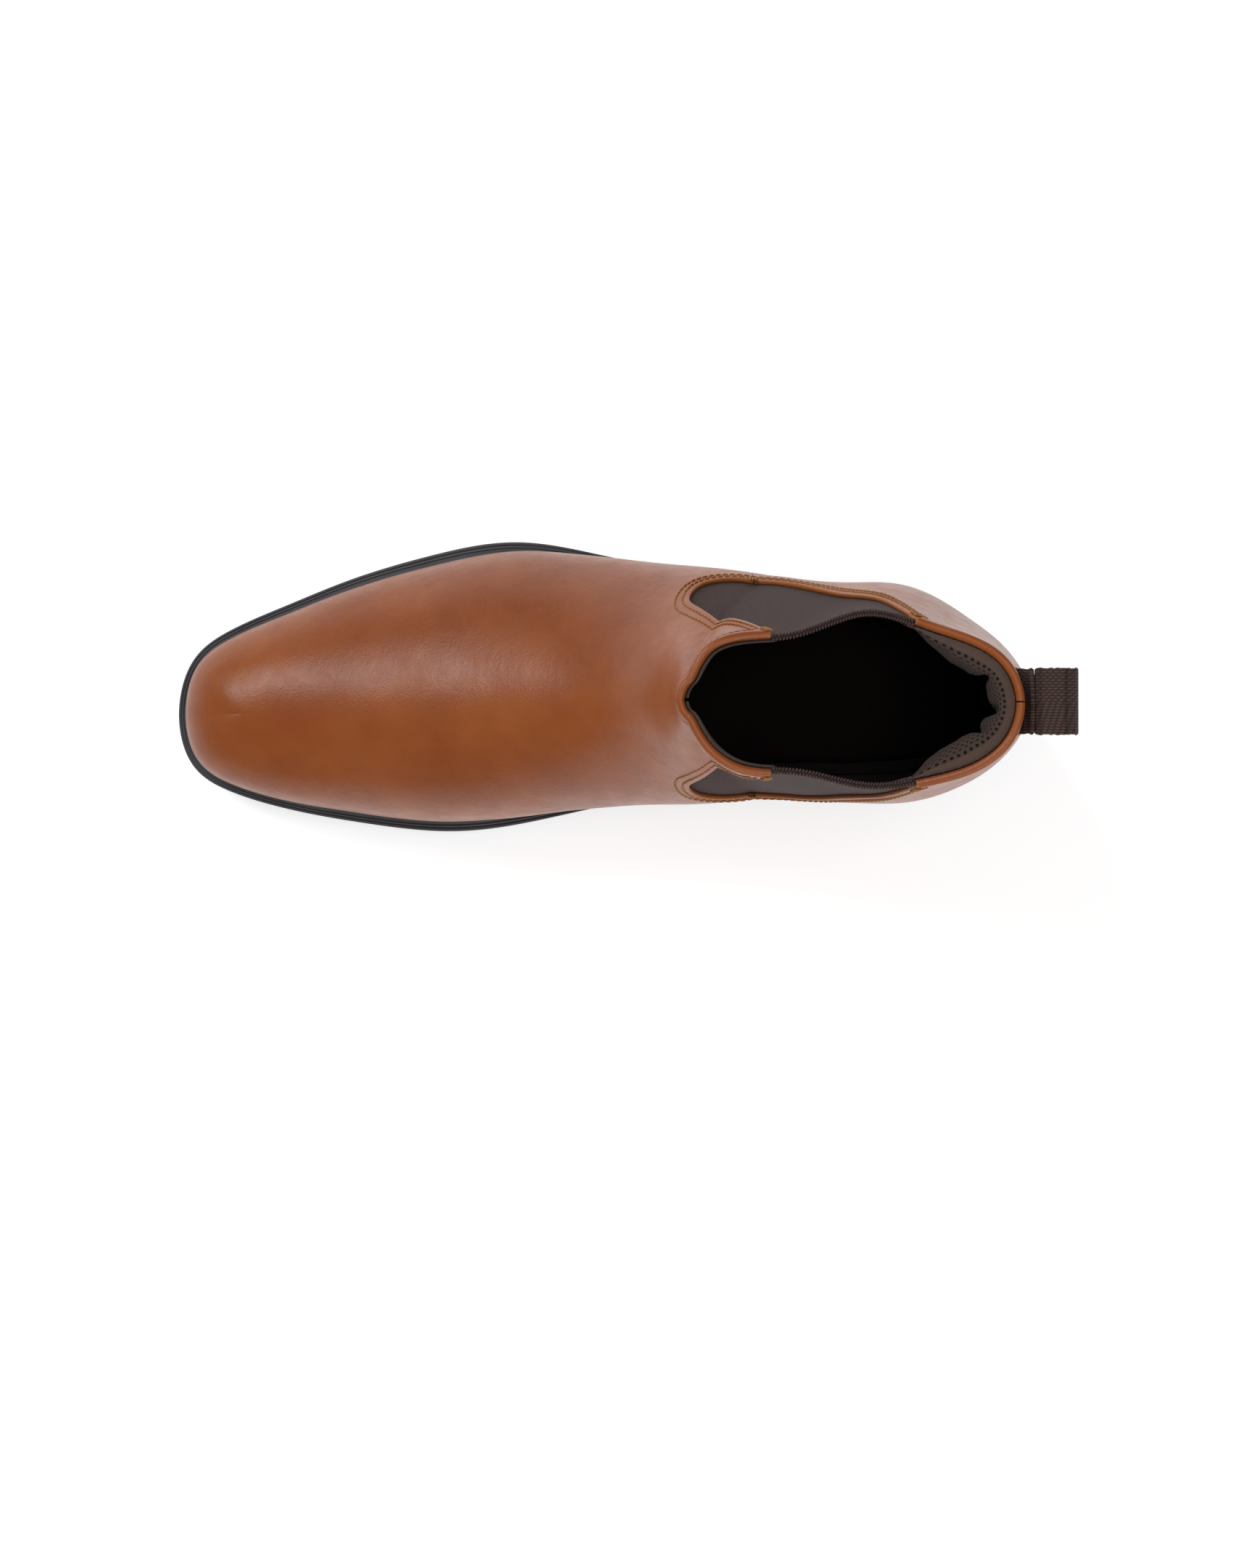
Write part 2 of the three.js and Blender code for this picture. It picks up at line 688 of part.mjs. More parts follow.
const SHANK = [
  [-38, -SHANK_WIDTH / 2],
  [82, -SHANK_WIDTH / 2],
  [86, -SHANK_WIDTH / 4],
  [86, SHANK_WIDTH / 4],
  [82, SHANK_WIDTH / 2],
  [-38, SHANK_WIDTH / 2],
  [-42, SHANK_WIDTH / 4],
  [-42, -SHANK_WIDTH / 4],
];
const shankOutline = (by) => SHANK.map(([x, y]) => [x * GRADE_X + Math.sign(x - 20) * by, y - 3 + Math.sign(y) * by]);
const SHANK_THICK = 1.6;
const shankBand = (by) => band(FLOOR - GAP + by, FLOOR - GAP - SHANK_THICK - by);
const shank = () => whole(planCut(shankOutline(0)).intersect(shankBand(0)));

const filler = () =>
  whole(
    planCut(soleOutline(-LASTING_MARGIN - 2 * GAP))
      .intersect(band(FLOOR - GAP, -GAP - WELT))
      .subtract(planCut(shankOutline(GAP)).intersect(shankBand(GAP)))
      .subtract(nailBores(GAP)),
  );

// ---------------------------------------------------------------- the sole
const soleShape = planCut(soleOutline(rimWidth));
const WELT_INSIDE = LASTING_MARGIN; // the welt runs in as far as the lasting margin does

const welt = () =>
  whole(
    soleShape
      .subtract(planCut(soleOutline(-WELT_INSIDE)))
      .intersect(band(-GAP, -GAP - WELT)),
  );
const MIDSOLE_TOP = -2 * GAP - WELT;
const midsole = () => whole(soleShape.intersect(band(MIDSOLE_TOP, MIDSOLE_TOP - MIDSOLE)).subtract(nailBores(GAP)));

const OUTSOLE_TOP = MIDSOLE_TOP - MIDSOLE - GAP;
const GROOVES = 7; // across the forepart
const GROOVE_PITCH = 13;
const GROOVE_WIDTH = 2.4;
const GROOVE_DEPTH = 1.6;
function treadGrooves() {
  const cuts = [];
  for (let i = 0; i < GROOVES; i++) {
    const x = (-112 + i * GROOVE_PITCH) * GRADE_X;
    const chevron = [
      [x, -34],
      [x + GROOVE_WIDTH, -34],
      [x + GROOVE_WIDTH - 6, 0],
      [x + GROOVE_WIDTH, 32],
      [x, 32],
      [x - 6, 0],
    ];
    cuts.push(planCut(chevron));
  }
  return cuts.reduce((all, cut) => all.add(cut)).intersect(band(OUTSOLE_TOP - OUTSOLE + GROOVE_DEPTH, -30));
}
const outsole = () =>
  whole(
    soleShape
      .intersect(band(OUTSOLE_TOP, OUTSOLE_TOP - OUTSOLE))
      .subtract(treadGrooves())
      .subtract(nailBores(GAP)),
  );

const heelShape = planCut([
  [HEEL_BREAST * GRADE_X, -FAR],
  [FAR, -FAR],
  [FAR, FAR],
  [HEEL_BREAST * GRADE_X, FAR],
  [HEEL_BREAST * GRADE_X + 5, 0],
]);
const heelFoot = (pull) => planCut(soleOutline((s) => rimWidth(s) - pull)).intersect(heelShape);
function heelBlock() {
  const level = sideCut([[-FAR, TOP_PIECE + GAP], [FAR, TOP_PIECE + GAP], [FAR, FAR], [-FAR, FAR]]);
  const blind = nailBores(GAP).intersect(planCut(soleOutline(0), HEEL_HEIGHT + FLOOR + BOARD - NAIL_LENGTH, FAR));
  return whole(
    heelFoot(0.4)
      .intersect(band(OUTSOLE_TOP - OUTSOLE - GAP, -FAR))
      .intersect(level)
      .subtract(blind),
  );
}
const heelTopPiece = () => whole(heelFoot(0.8).intersect(planCut(soleOutline(9), 0, TOP_PIECE)));

// ---------------------------------------------------------------- the pull tab
// Where the outside of the back seam is, `drop` below the collar.
function backAt(drop) {
  const height = COLLAR.at(-2)[1] - drop;
  let low = 0;
  let high = 1;
  for (let i = 0; i < 30; i++) {
    const middle = (low + high) / 2;
    if (skin(1, middle).z < height) low = middle;
    else high = middle;
  }
  return skin(1, low);
}
const tabRoot = backAt(TAB_BELOW_COLLAR);
const TAB_STANDOFF = 1.7; // the round of the heel falls away under the sides of the webbing
const anchorFace = tabRoot.x + TAB_STANDOFF + TAB_WEBBING;
const rootHalf = TAB_WEBBING + 0.25; // two layers lie together where the loop starts
const tabPivot = anchorFace + GAP + rootHalf;

// A piece of webbing drawn in side view, as wide as the webbing.
const webbing = (points) => sideCut(points, tabRoot.y - TAB_WIDTH / 2, tabRoot.y + TAB_WIDTH / 2);

// The sewn-down ends lie flat on the back seam.
function pullTabAnchor() {
  const lower = backAt(TAB_BELOW_COLLAR + TAB_ANCHOR_HEIGHT);
  const strip = webbing([
    [lower.x - 6, lower.z],
    [lower.x + TAB_STANDOFF + TAB_WEBBING, lower.z],
    [anchorFace, tabRoot.z - rootHalf],
    [anchorFace, tabRoot.z + rootHalf],
    [tabRoot.x - 6, tabRoot.z + rootHalf],
  ]);
  return whole(strip.subtract(last(-GAP)));
}

function arc(x, z, radius, from, to, steps) {
  const points = [];
  for (let i = 0; i <= steps; i++) {
    const turn = THREE.MathUtils.degToRad(mix(from, to, i / steps));
    points.push([x + radius * Math.cos(turn), z + radius * Math.sin(turn)]);
  }
  return points;
}

// The loop: a flattened ring of webbing, closed and round at its root, where it swings on its seam.
function pullTab() {
  const bend = TAB_LOOP / 2;
  const end = anchorFace + TAB_REACH - bend;
  const outer = [
    ...arc(end, tabRoot.z, bend, -90, 90, 16),
    ...arc(tabPivot, tabRoot.z, rootHalf, 90, 270, 8),
  ];
  const hollow = [
    ...arc(end, tabRoot.z, bend - TAB_WEBBING, -90, 90, 16),
    [tabPivot + TAB_WEBBING, tabRoot.z + 0.25],
    [tabPivot + TAB_WEBBING, tabRoot.z - 0.25],
  ];
  return whole(webbing(outer).subtract(webbing(hollow)));
}

// ---------------------------------------------------------------- the boot
const COGNAC = { color: 0x97552c, roughness: 0.42, metalness: 0 };
const ELASTIC = { color: 0x3a2b28, roughness: 0.85, metalness: 0 };
const LINING_CLOTH = { color: 0x5a4a42, roughness: 0.95, metalness: 0 };
const RUBBER = { color: 0x35353a, roughness: 0.6, metalness: 0 };
const STIFF_BOARD = { color: 0xb9a888, roughness: 0.9, metalness: 0 };
const STEEL = { color: 0xa9abae, roughness: 0.35, metalness: 1 };
const THREAD = { color: 0xb98a4e, roughness: 0.8, metalness: 0 };
const WEBBING = { color: 0x4a3931, roughness: 0.9, metalness: 0 };

const group = new THREE.Group();
group.name = "chelsea_boot";
function add(name, shape, look) {
  const mesh = new THREE.Mesh(toGeometry(shape), new THREE.MeshStandardMaterial(look));
  mesh.name = name;
  group.add(mesh);
}

add("vamp", vamp(), COGNAC);
add("quarter_outer", quarter(1), COGNAC);
add("quarter_inner", quarter(-1), COGNAC);
for (const [word, side] of [["outer", 1], ["inner", -1]]) {
  add(`gore_${word}`, gore(side), ELASTIC);
  add(`gore_binding_${word}`, goreBinding(side), ELASTIC);
  STITCH_ROWS.forEach((from, i) => add(`gore_stitches_${word}_${i + 1}`, goreStitches(side, from), THREAD));
}
add("toe_puff", toePuff(), STIFF_BOARD);
add("heel_counter", heelCounter(), STIFF_BOARD);
add("collar_tape_front", collarTape(front(10)), LINING_CLOTH);
add("collar_tape_back", collarTape(back(10)), LINING_CLOTH);
add("vamp_lining", vampLining(), LINING_CLOTH);
add("quarter_lining", quarterLining(), LINING_CLOTH);
add("collar_padding", collarPadding(), { color: 0xc9c2b2, roughness: 1, metalness: 0 });
add("insole_board", insoleBoard(), STIFF_BOARD);
add("footbed", footbed(), { color: 0x8c8478, roughness: 0.95, metalness: 0 });
add("sock", sock(), { color: 0x3f2f27, roughness: 0.7, metalness: 0 });
add("shank", shank(), STEEL);
add("filler", filler(), { color: 0x9a7a52, roughness: 1, metalness: 0 });
add("welt", welt(), RUBBER);
add("midsole", midsole(), RUBBER);
add("outsole", outsole(), RUBBER);
add("heel_block", heelBlock(), RUBBER);
add("heel_top_piece", heelTopPiece(), RUBBER);
nailPlaces.forEach((place, i) => add(`heel_nail_${i + 1}`, heelNail(place), STEEL));
add("pull_tab_anchor", pullTabAnchor(), WEBBING);
add("pull_tab", pullTab(), WEBBING);

// The origin goes to the ground under the middle of the boot's box.
const box = new THREE.Box3().setFromObject(group);
const middle = box.getCenter(new THREE.Vector3());
group.position.set(-middle.x, -middle.y, -box.min.z);

export default group;
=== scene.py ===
"""A right-foot chelsea boot in cognac leather on a pale studio floor, seen from straight above.

Metres, +Z up, toe towards -X, outer side +Y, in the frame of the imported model. The upper is lofted over
the same last as that model, on a fine grid, and every soft or curved piece is made again from it.
Lengths below are in millimetres until they are placed.
"""

import bpy
import numpy as np
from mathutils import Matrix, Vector


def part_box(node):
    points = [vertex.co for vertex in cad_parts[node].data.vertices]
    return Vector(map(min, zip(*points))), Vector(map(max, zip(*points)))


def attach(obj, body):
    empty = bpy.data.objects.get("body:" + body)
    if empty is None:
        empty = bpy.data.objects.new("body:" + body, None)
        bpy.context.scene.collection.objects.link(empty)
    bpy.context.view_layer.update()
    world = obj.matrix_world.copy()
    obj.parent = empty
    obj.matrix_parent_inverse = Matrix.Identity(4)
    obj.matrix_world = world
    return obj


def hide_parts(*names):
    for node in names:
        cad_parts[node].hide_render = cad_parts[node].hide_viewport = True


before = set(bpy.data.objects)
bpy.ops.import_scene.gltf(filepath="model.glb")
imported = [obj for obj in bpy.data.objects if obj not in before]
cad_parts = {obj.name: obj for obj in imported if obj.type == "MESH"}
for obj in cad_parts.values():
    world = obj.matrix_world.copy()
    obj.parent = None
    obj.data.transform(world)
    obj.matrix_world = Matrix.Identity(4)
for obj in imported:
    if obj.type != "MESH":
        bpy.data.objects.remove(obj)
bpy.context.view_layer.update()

# ---------------------------------------------------------------- the last
# Lines climb from the feather line to the top at stations round the foot: 0 is the middle of the toe,
# 1 the middle of the heel, down the outer side, and negative stations run down the inner side.
# Each row below starts with its station. Toe to shaft, both sides share the ridge of the vamp.
RIDGE = np.array([
    [0.0, -138, -10, 29.5], [0.06, -135, -10, 30.8], [0.11, -128, -10, 33], [0.17, -115, -10, 37],
    [0.26, -97, -9.5, 43.5], [0.36, -72, -8.5, 52], [0.46, -45, -7.5, 61.5], [0.54, -20, -6.3, 72.5],
    [0.6, 0, -5.3, 86.5], [0.64, 10, -4.8, 103], [0.67, 14.3, -4.6, 121], [0.69, 15.6, -4.5, 133],
    [0.71, 16.6, -4.4, 144],
])
SHAFT_TOP_OUTER = np.array([
    [0.735, 19.5, 6.3, 150], [0.76, 28, 12, 152], [0.8, 46, 13.2, 150], [0.85, 70, 23.6, 148],
    [0.9, 94, 21.5, 147], [0.945, 115, 16.5, 148], [0.975, 126.5, 8, 148], [1.0, 131, -5, 148],
])
SHAFT_TOP_INNER = np.array([
    [0.735, 19.5, -15.6, 150], [0.76, 28, -25, 152], [0.8, 47, -26.9, 150], [0.85, 71, -33.5, 148],
    [0.9, 95, -33.5, 147], [0.945, 115, -29, 148], [0.975, 127, -19, 148], [1.0, 131, -5, 148],
])
FEATHER_OUTER = np.array([
    [0.0, -159.5, -10.5], [0.05, -155.5, 6.5], [0.1, -144.5, 16.4], [0.17, -124, 25.7],
    [0.26, -98.5, 35.6], [0.36, -68, 44], [0.46, -37, 48.2], [0.54, -9, 44.8], [0.61, 16, 40.5],
    [0.67, 36, 36.5], [0.73, 57.5, 33.4], [0.79, 79, 31], [0.85, 100, 27.5], [0.91, 119.5, 18.6],
    [0.96, 134, 8], [1.0, 140.5, -5.5],
])
FEATHER_INNER = np.array([
    [0.0, -159.5, -10.5], [0.05, -155.5, -26.5], [0.1, -144.5, -34.8], [0.17, -124, -41.3],
    [0.26, -98, -45.9], [0.36, -67, -48.7], [0.46, -37, -45.8], [0.54, -10, -41.3], [0.61, 14, -37.8],
    [0.67, 35, -35], [0.73, 57, -33.6], [0.79, 79, -33.6], [0.85, 100, -32.2], [0.91, 119.5, -28],
    [0.96, 134, -18.5], [1.0, 140.5, -5.5],
])
# How each line climbs: rise and flare of its lower handle, then turn, length and draw of its upper one.
CLIMB = np.array([
    [0.0, 13, 3.0, 0, 13, 0], [0.06, 14, 3.0, 38, 15, 0], [0.11, 16, 3.0, 62, 18, 0],
    [0.17, 19, 3.0, 80, 22, 0], [0.26, 23, 3.0, 90, 26, 0], [0.36, 28, 3.5, 90, 29, 0],
    [0.46, 34, 6, 90, 28, 0], [0.54, 40, 10, 88, 25, 0], [0.61, 45, 14, 78, 26, 0],
    [0.67, 47, 17, 50, 34, 0], [0.71, 47, 18, 24, 40, 0], [0.74, 47, 17, 6, 44, 0],
    [0.79, 46, 17, 1, 50, -1], [0.85, 43, 18, 0, 54, -1], [0.91, 42, 14, 0, 56, 4],
    [0.96, 42, 10, 0, 57, 9], [1.0, 42, 9, 0, 57, 13],
])
RIDGE_PURE = 0.7
RIDGE_END = 0.725
HEEL_HEIGHT = 30.0
TOE_SPRING = 8.0
OUTSOLE = 4.0
MIDSOLE = 3.0
WELT = 2.6
GAP = 0.3
TREAD = OUTSOLE + MIDSOLE + WELT + 3 * GAP


def cubic(knots, values):
    """The natural cubic spline through (knots[i], values[i])."""
    knots = np.asarray(knots, float)
    values = np.asarray(values, float)
    n = len(knots)
    width = np.diff(knots)
    system = np.eye(n)
    kinks = np.zeros(n)
    for i in range(1, n - 1):
        system[i, i - 1:i + 2] = width[i - 1], 2 * (width[i - 1] + width[i]), width[i]
        kinks[i] = (values[i + 1] - values[i]) / width[i] - (values[i] - values[i - 1]) / width[i - 1]
    bend = np.linalg.solve(system, kinks)

    def at(x):
        i = np.clip(np.searchsorted(knots, x) - 1, 0, n - 2)
        a = (knots[i + 1] - x) / width[i]
        b = 1 - a
        curve = ((a ** 3 - a) * bend[i] + (b ** 3 - b) * bend[i + 1]) * width[i] ** 2
        return a * values[i] + b * values[i + 1] + curve

    return at


def smooth(x):
    w = np.clip(x, 0, 1)
    return w * w * w * (w * (6 * w - 15) + 10)


def ring(outer, inner, column):
    """A closed spline round the boot: outer side from 0 to 1, inner side from 1 to 2."""
    rows = np.concatenate([outer[:, [0, column]], inner[-2:0:-1][:, [0, column]] * [-1, 1] + [2, 0]])
    rows = np.concatenate([rows[-5:] - [2, 0], rows, rows[:6] + [2, 0]])
    return cubic(rows[:, 0], rows[:, 1])


FEATHER_Z = cubic(
    [-157, -120, -95, -70, -35, 0, 40, 75, 100, 125, 150],
    [TREAD + TOE_SPRING, TREAD + 0.3 * TOE_SPRING, TREAD + 0.06 * TOE_SPRING, TREAD]
    + [TREAD + share * (HEEL_HEIGHT - TREAD) for share in (0.06, 0.25, 0.68, 0.95, 1, 1, 1)],
)
feather_x = ring(FEATHER_OUTER, FEATHER_INNER, 1)
feather_y = ring(FEATHER_OUTER, FEATHER_INNER, 2)
top_outer = np.concatenate([RIDGE, SHAFT_TOP_OUTER])
top_inner = np.concatenate([RIDGE, SHAFT_TOP_INNER])
top_ring = [ring(top_outer, top_inner, c) for c in (1, 2, 3)]
ridge_line = [cubic(RIDGE[:, 0], RIDGE[:, c]) for c in (1, 2, 3)]
climb_ring = [ring(CLIMB, CLIMB, c) for c in (1, 2, 3, 4, 5)]


def stack(*columns):
    return np.stack(np.broadcast_arrays(*columns), -1)


def unit(v):
    """v at length 1. A vector of no length stays as it is, so it can't spread."""
    return v / np.maximum(np.linalg.norm(v, axis=-1, keepdims=True), 1e-12)


def station_of(a):
    return np.minimum(a % 2, 2 - a % 2)


def feather(a):
    x = feather_x(a % 2)
    return stack(x, feather_y(a % 2), FEATHER_Z(x))


def outward(a):
    along = feather(a + 0.002) - feather(a - 0.002)
    return unit(stack(-along[..., 1], along[..., 0], 0.0))


def top(a):
    """The upper end of the skin at a station: the ridge in front, blending into the collar ring."""
    s = station_of(a)
    w = smooth((s - RIDGE_PURE) / (RIDGE_END - RIDGE_PURE))
    x, y, h = [
        line(np.minimum(s, 0.71)) * (1 - w) + around(a % 2) * w
        for line, around in zip(ridge_line, top_ring)
    ]
    return stack(x, y, FEATHER_Z(x) + h)


def ridge_up(s):
    lower = np.maximum(0, np.minimum(s, 0.7) - 0.002)
    return unit(top(lower + 0.004) - top(lower))


def skin(a, t):
    """The outer surface at station a, and t from 0 at the feather line to 1 at the top."""
    a, t = np.broadcast_arrays(np.asarray(a, float), np.asarray(t, float))
    s = station_of(a)
    side = np.where(a % 2 <= 1, 1.0, -1.0)
    rise, flare, turn, reach, draw = [f(a % 2)[..., None] for f in climb_ring]
    foot = feather(a)
    head = top(a)
    out = outward(a)
    low = foot + out * flare + rise * np.array([0, 0, 1.0])
    straight = smooth((s - 0.64) / 0.12)[..., None]
    up = unit(ridge_up(s) * (1 - straight) + unit(head - foot) * straight)
    turn = np.radians(turn)
    high = head - up * np.cos(turn) * reach - out * draw
    high[..., 1:2] += side[..., None] * np.sin(turn) * reach
    t = t[..., None]
    u = 1 - t
    return foot * u ** 3 + low * 3 * u * u * t + high * 3 * u * t * t + head * t ** 3


def normal(a, t):
    """The outward normal of the skin. On the ridge it is the same from both sides."""
    s = station_of(a)
    step = 0.004
    climb = skin(a, np.minimum(0.9995, t + step)) - skin(a, np.maximum(0.0005, t - step))
    along = skin(a + step / 2, t) - skin(a - step / 2, t)
    n = unit(np.cross(climb, along))
    up = ridge_up(s)
    crest = unit(stack(-up[..., 2], 0.0, up[..., 0]))
    near = (smooth((t - 0.975) / 0.025) * (s < RIDGE_PURE))[..., None]
    return unit(n * (1 - near) + crest * near)


# The last is drawn about its own origin: the sole's toe and the tab say where the model has it.
RIM_TOE = 3.4
ORIGIN = np.array([
    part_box("outsole")[0][0] * 1000 - (feather_x(0.0) - RIM_TOE),
    (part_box("pull_tab")[0][1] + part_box("pull_tab")[1][1]) * 500 + 5.05,
    0.0,
])


def metres(points):
    return (points + ORIGIN) * 0.001


# ---------------------------------------------------------------- camera and studio
# Straight down from 1.3 m with a long lens. The boot lies above the middle of the picture, so the lens
# is shifted. A large soft light stands past the toe on the inner side, a weaker one across from it.
CAMERA_HEIGHT = 1.3
VIEW_HEIGHT = 0.578  # what the picture covers at the floor
camera = bpy.data.objects.new("camera", bpy.data.cameras.new("camera"))
bpy.context.scene.collection.objects.link(camera)
camera.location = (*metres(np.zeros(3))[:2], CAMERA_HEIGHT)
camera.data.sensor_width = 36
camera.data.lens = 36 * CAMERA_HEIGHT / VIEW_HEIGHT
camera.data.shift_y = -0.0626
bpy.context.scene.camera = camera

world = bpy.data.worlds.new("studio")
world.use_nodes = True
world.node_tree.nodes["Background"].inputs["Color"].default_value = (1.0, 1.0, 1.0, 1)
world.node_tree.nodes["Background"].inputs["Strength"].default_value = 0.2
bpy.context.scene.world = world
bpy.context.scene.view_settings.view_transform = "Standard"


def softbox(name, place, target, size, watts):
    """A rectangular area light at place, facing target."""
    light = bpy.data.objects.new(name, bpy.data.lights.new(name, "AREA"))
    light.data.shape = "RECTANGLE"
    light.data.size, light.data.size_y = size
    light.data.energy = watts
    light.location = place
    aim = np.subtract(target, place)
    light.rotation_euler = Vector(aim).to_track_quat("-Z", "Y").to_euler()
    bpy.context.scene.collection.objects.link(light)


softbox("key", (-0.75, 0.75, 1.0), (-0.05, 0, 0.05), (0.8, 0.5), 12)
softbox("fill", (0.45, -1.1, 0.85), (0, 0, 0.05), (1.1, 0.5), 8)
softbox("overhead", (0.35, 0.0, 1.9), (0, 0, 0.05), (0.9, 0.7), 6)


def add_object(name, vertices, faces, smooth_faces=True):
    """A mesh object from a vertex array in metres and a list of triangle or quad arrays."""
    loops = np.concatenate([np.asarray(f).ravel() for f in faces])
    sizes = np.concatenate([np.full(len(f), np.asarray(f).shape[1]) for f in faces])
    mesh = bpy.data.meshes.new(name)
    mesh.vertices.add(len(vertices))
    mesh.vertices.foreach_set("co", np.asarray(vertices, np.float32).ravel())
    mesh.loops.add(len(loops))
    mesh.loops.foreach_set("vertex_index", loops.astype(np.int32))
    mesh.polygons.add(len(sizes))
    mesh.polygons.foreach_set("loop_start", (np.cumsum(sizes) - sizes).astype(np.int32))
    mesh.polygons.foreach_set("loop_total", sizes.astype(np.int32))
    mesh.polygons.foreach_set("use_smooth", np.full(len(sizes), smooth_faces))
    mesh.update(calc_edges=True)
    mesh.validate()
    obj = bpy.data.objects.new(name, mesh)
    bpy.context.scene.collection.objects.link(obj)
    return obj


def grid_faces(rows, columns, close_columns=False, close_rows=False):
    """Quads of a grid of vertices numbered row by row."""
    r = np.arange(rows if close_rows else rows - 1)
    c = np.arange(columns if close_columns else columns - 1)
    r, c = [m.ravel() for m in np.meshgrid(r, c, indexing="ij")]
    r1 = (r + 1) % rows
    c1 = (c + 1) % columns
    return np.stack([r * columns + c, r * columns + c1, r1 * columns + c1, r1 * columns + c], 1)


FLOOR_REACH = 6  # metres from the middle to each edge
floor_corners = [(x * FLOOR_REACH, y * FLOOR_REACH, 0) for x, y in ((-1, -1), (1, -1), (1, 1), (-1, 1))]
floor = add_object("floor", floor_corners, [np.array([[0, 1, 2, 3]])], False)


def shader(name):
    """A new material with its node tree and its main shader."""
    material = bpy.data.materials.new(name)
    material.use_nodes = True
    tree = material.node_tree
    return material, tree, tree.nodes["Principled BSDF"]


def node(tree, kind, output=0, **settings):
    """Adds a node. A setting with an input's name fills that input, with a value or another output."""
    made = tree.nodes.new("ShaderNode" + kind)
    for key, value in settings.items():
        socket = made.inputs[int(key[1:])] if key[0] == "i" and key[1:].isdigit() else None
        if socket is None:
            socket = made.inputs.get(key.replace("_", " "))
        if socket is None:
            setattr(made, key, value)
        elif isinstance(value, bpy.types.NodeSocket):
            tree.links.new(value, socket)
        else:
            socket.default_value = value
    return made.outputs[output]


def ramp(tree, value, stops):
    """A colour ramp over value, with (position, colour) stops."""
    made = tree.nodes.new("ShaderNodeValToRGB")
    elements = made.color_ramp.elements
    while len(elements) < len(stops):
        elements.new(0.5)
    for element, (position, colour) in zip(elements, stops):
        element.position = position
        element.color = (*colour, 1)
    tree.links.new(value, made.inputs[0])
    return made.outputs[0]


def maths(tree, operation, a, b=0.0, c=0.0):
    return node(tree, "Math", operation=operation, i0=a, i1=b, i2=c)


def blend(tree, factor, a, b, mode="MIX"):
    """A mix of two colours."""
    made = tree.nodes.new("ShaderNodeMix")
    made.data_type = "RGBA"
    made.blend_type = mode
    for socket, value in ((made.inputs[0], factor), (made.inputs[6], a), (made.inputs[7], b)):
        if isinstance(value, bpy.types.NodeSocket):
            tree.links.new(value, socket)
        else:
            socket.default_value = (*value, 1) if isinstance(value, tuple) else value
    return made.outputs[2]


def bump(tree, height, distance, strength=1.0, under=None):
    """A bump over an earlier normal, if one is given."""
    settings = {"Height": height, "Distance": distance, "Strength": strength}
    if under is not None:
        settings["Normal"] = under
    return node(tree, "Bump", **settings)


def join(tree, output, socket):
    tree.links.new(output, socket)


floor_material, _, floor_bsdf = shader("floor_paper")
floor_bsdf.inputs["Base Color"].default_value = (0.93, 0.93, 0.93, 1)
floor_bsdf.inputs["Roughness"].default_value = 0.9
floor_bsdf.inputs["Emission Color"].default_value = (1, 1, 1, 1)
floor_bsdf.inputs["Emission Strength"].default_value = 0.45
floor.data.materials.append(floor_material)


# ---------------------------------------------------------------- cutting sheets out of the skin
# A net is a sheet of the skin: (station, t) points and the triangles between them. It is split along
# lines drawn in side view, so edges, folds and seams run exactly where the pattern says.
FINE = 1.0  # how closely the surfaces are sampled


def net_over(stations, heights):
    a, t = np.meshgrid(stations, heights, indexing="ij")
    points = stack(a.ravel(), t.ravel())
    quads = grid_faces(len(stations), len(heights))
    return points, np.concatenate([quads[:, [0, 1, 2]], quads[:, [0, 2, 3]]])


def split(net, field, level=0.0, keep_above=False):
    """Splits every triangle along field == level, and drops what lies below if asked."""
    points, triangles = net
    value = field(points) - level
    above = value >= 0
    count = above[triangles].sum(1)
    mixed = (count == 1) | (count == 2)
    t = triangles[mixed]
    lone = np.where((count[mixed] == 1)[:, None], above[t], ~above[t]).argmax(1)
    t = np.take_along_axis(t, (lone[:, None] + np.arange(3)) % 3, 1)
    edges = np.sort(np.concatenate([t[:, [0, 1]], t[:, [0, 2]]]), 1)
    keys, inverse = np.unique(edges, axis=0, return_inverse=True)
    inverse = inverse.ravel()
    weight = (value[keys[:, 0]] / (value[keys[:, 0]] - value[keys[:, 1]]))[:, None]
    fresh = points[keys[:, 0]] * (1 - weight) + points[keys[:, 1]] * weight
    ab = len(points) + inverse[:len(t)]
    ac = len(points) + inverse[len(t):]
    tips = np.stack([t[:, 0], ab, ac], 1)
    bases = np.concatenate([np.stack([ab, t[:, 1], t[:, 2]], 1), np.stack([ab, t[:, 2], ac], 1)])
    whole = triangles[~mixed]
    points = np.concatenate([points, fresh])
    if not keep_above:
        return points, np.concatenate([whole, tips, bases])
    tip_above = above[t[:, 0]]
    kept = [whole[above[whole[:, 0]]], tips[tip_above], bases[np.tile(~tip_above, 2)]]
    return compact(points, np.concatenate(kept))


def compact(points, triangles):
    used, triangles = np.unique(triangles, return_inverse=True)
    return points[used], triangles.reshape(-1, 3)


def rolled(net, field, radius):
    """Adds the loops that a rounded edge along field == 0 needs."""
    for share in (0.04, 0.15, 0.35, 0.62, 1.0):
        net = split(net, field, radius * share)
    return net


def weld_ridge(net):
    """The two sides meet on the ridge: their points there become one."""
    points, triangles = net
    crest = (points[:, 1] > 0.99999) & (np.abs(points[:, 0]) <= RIDGE_PURE)
    key = np.where(crest, np.abs(points[:, 0]), -1 - np.arange(len(points)))
    _, first, index = np.unique(np.round(key, 7), return_index=True, return_inverse=True)
    points = points[first]
    triangles = index.ravel()[triangles]
    proper = (triangles[:, 0] != triangles[:, 1]) & (triangles[:, 1] != triangles[:, 2])
    proper &= triangles[:, 2] != triangles[:, 0]
    return points, triangles[proper]


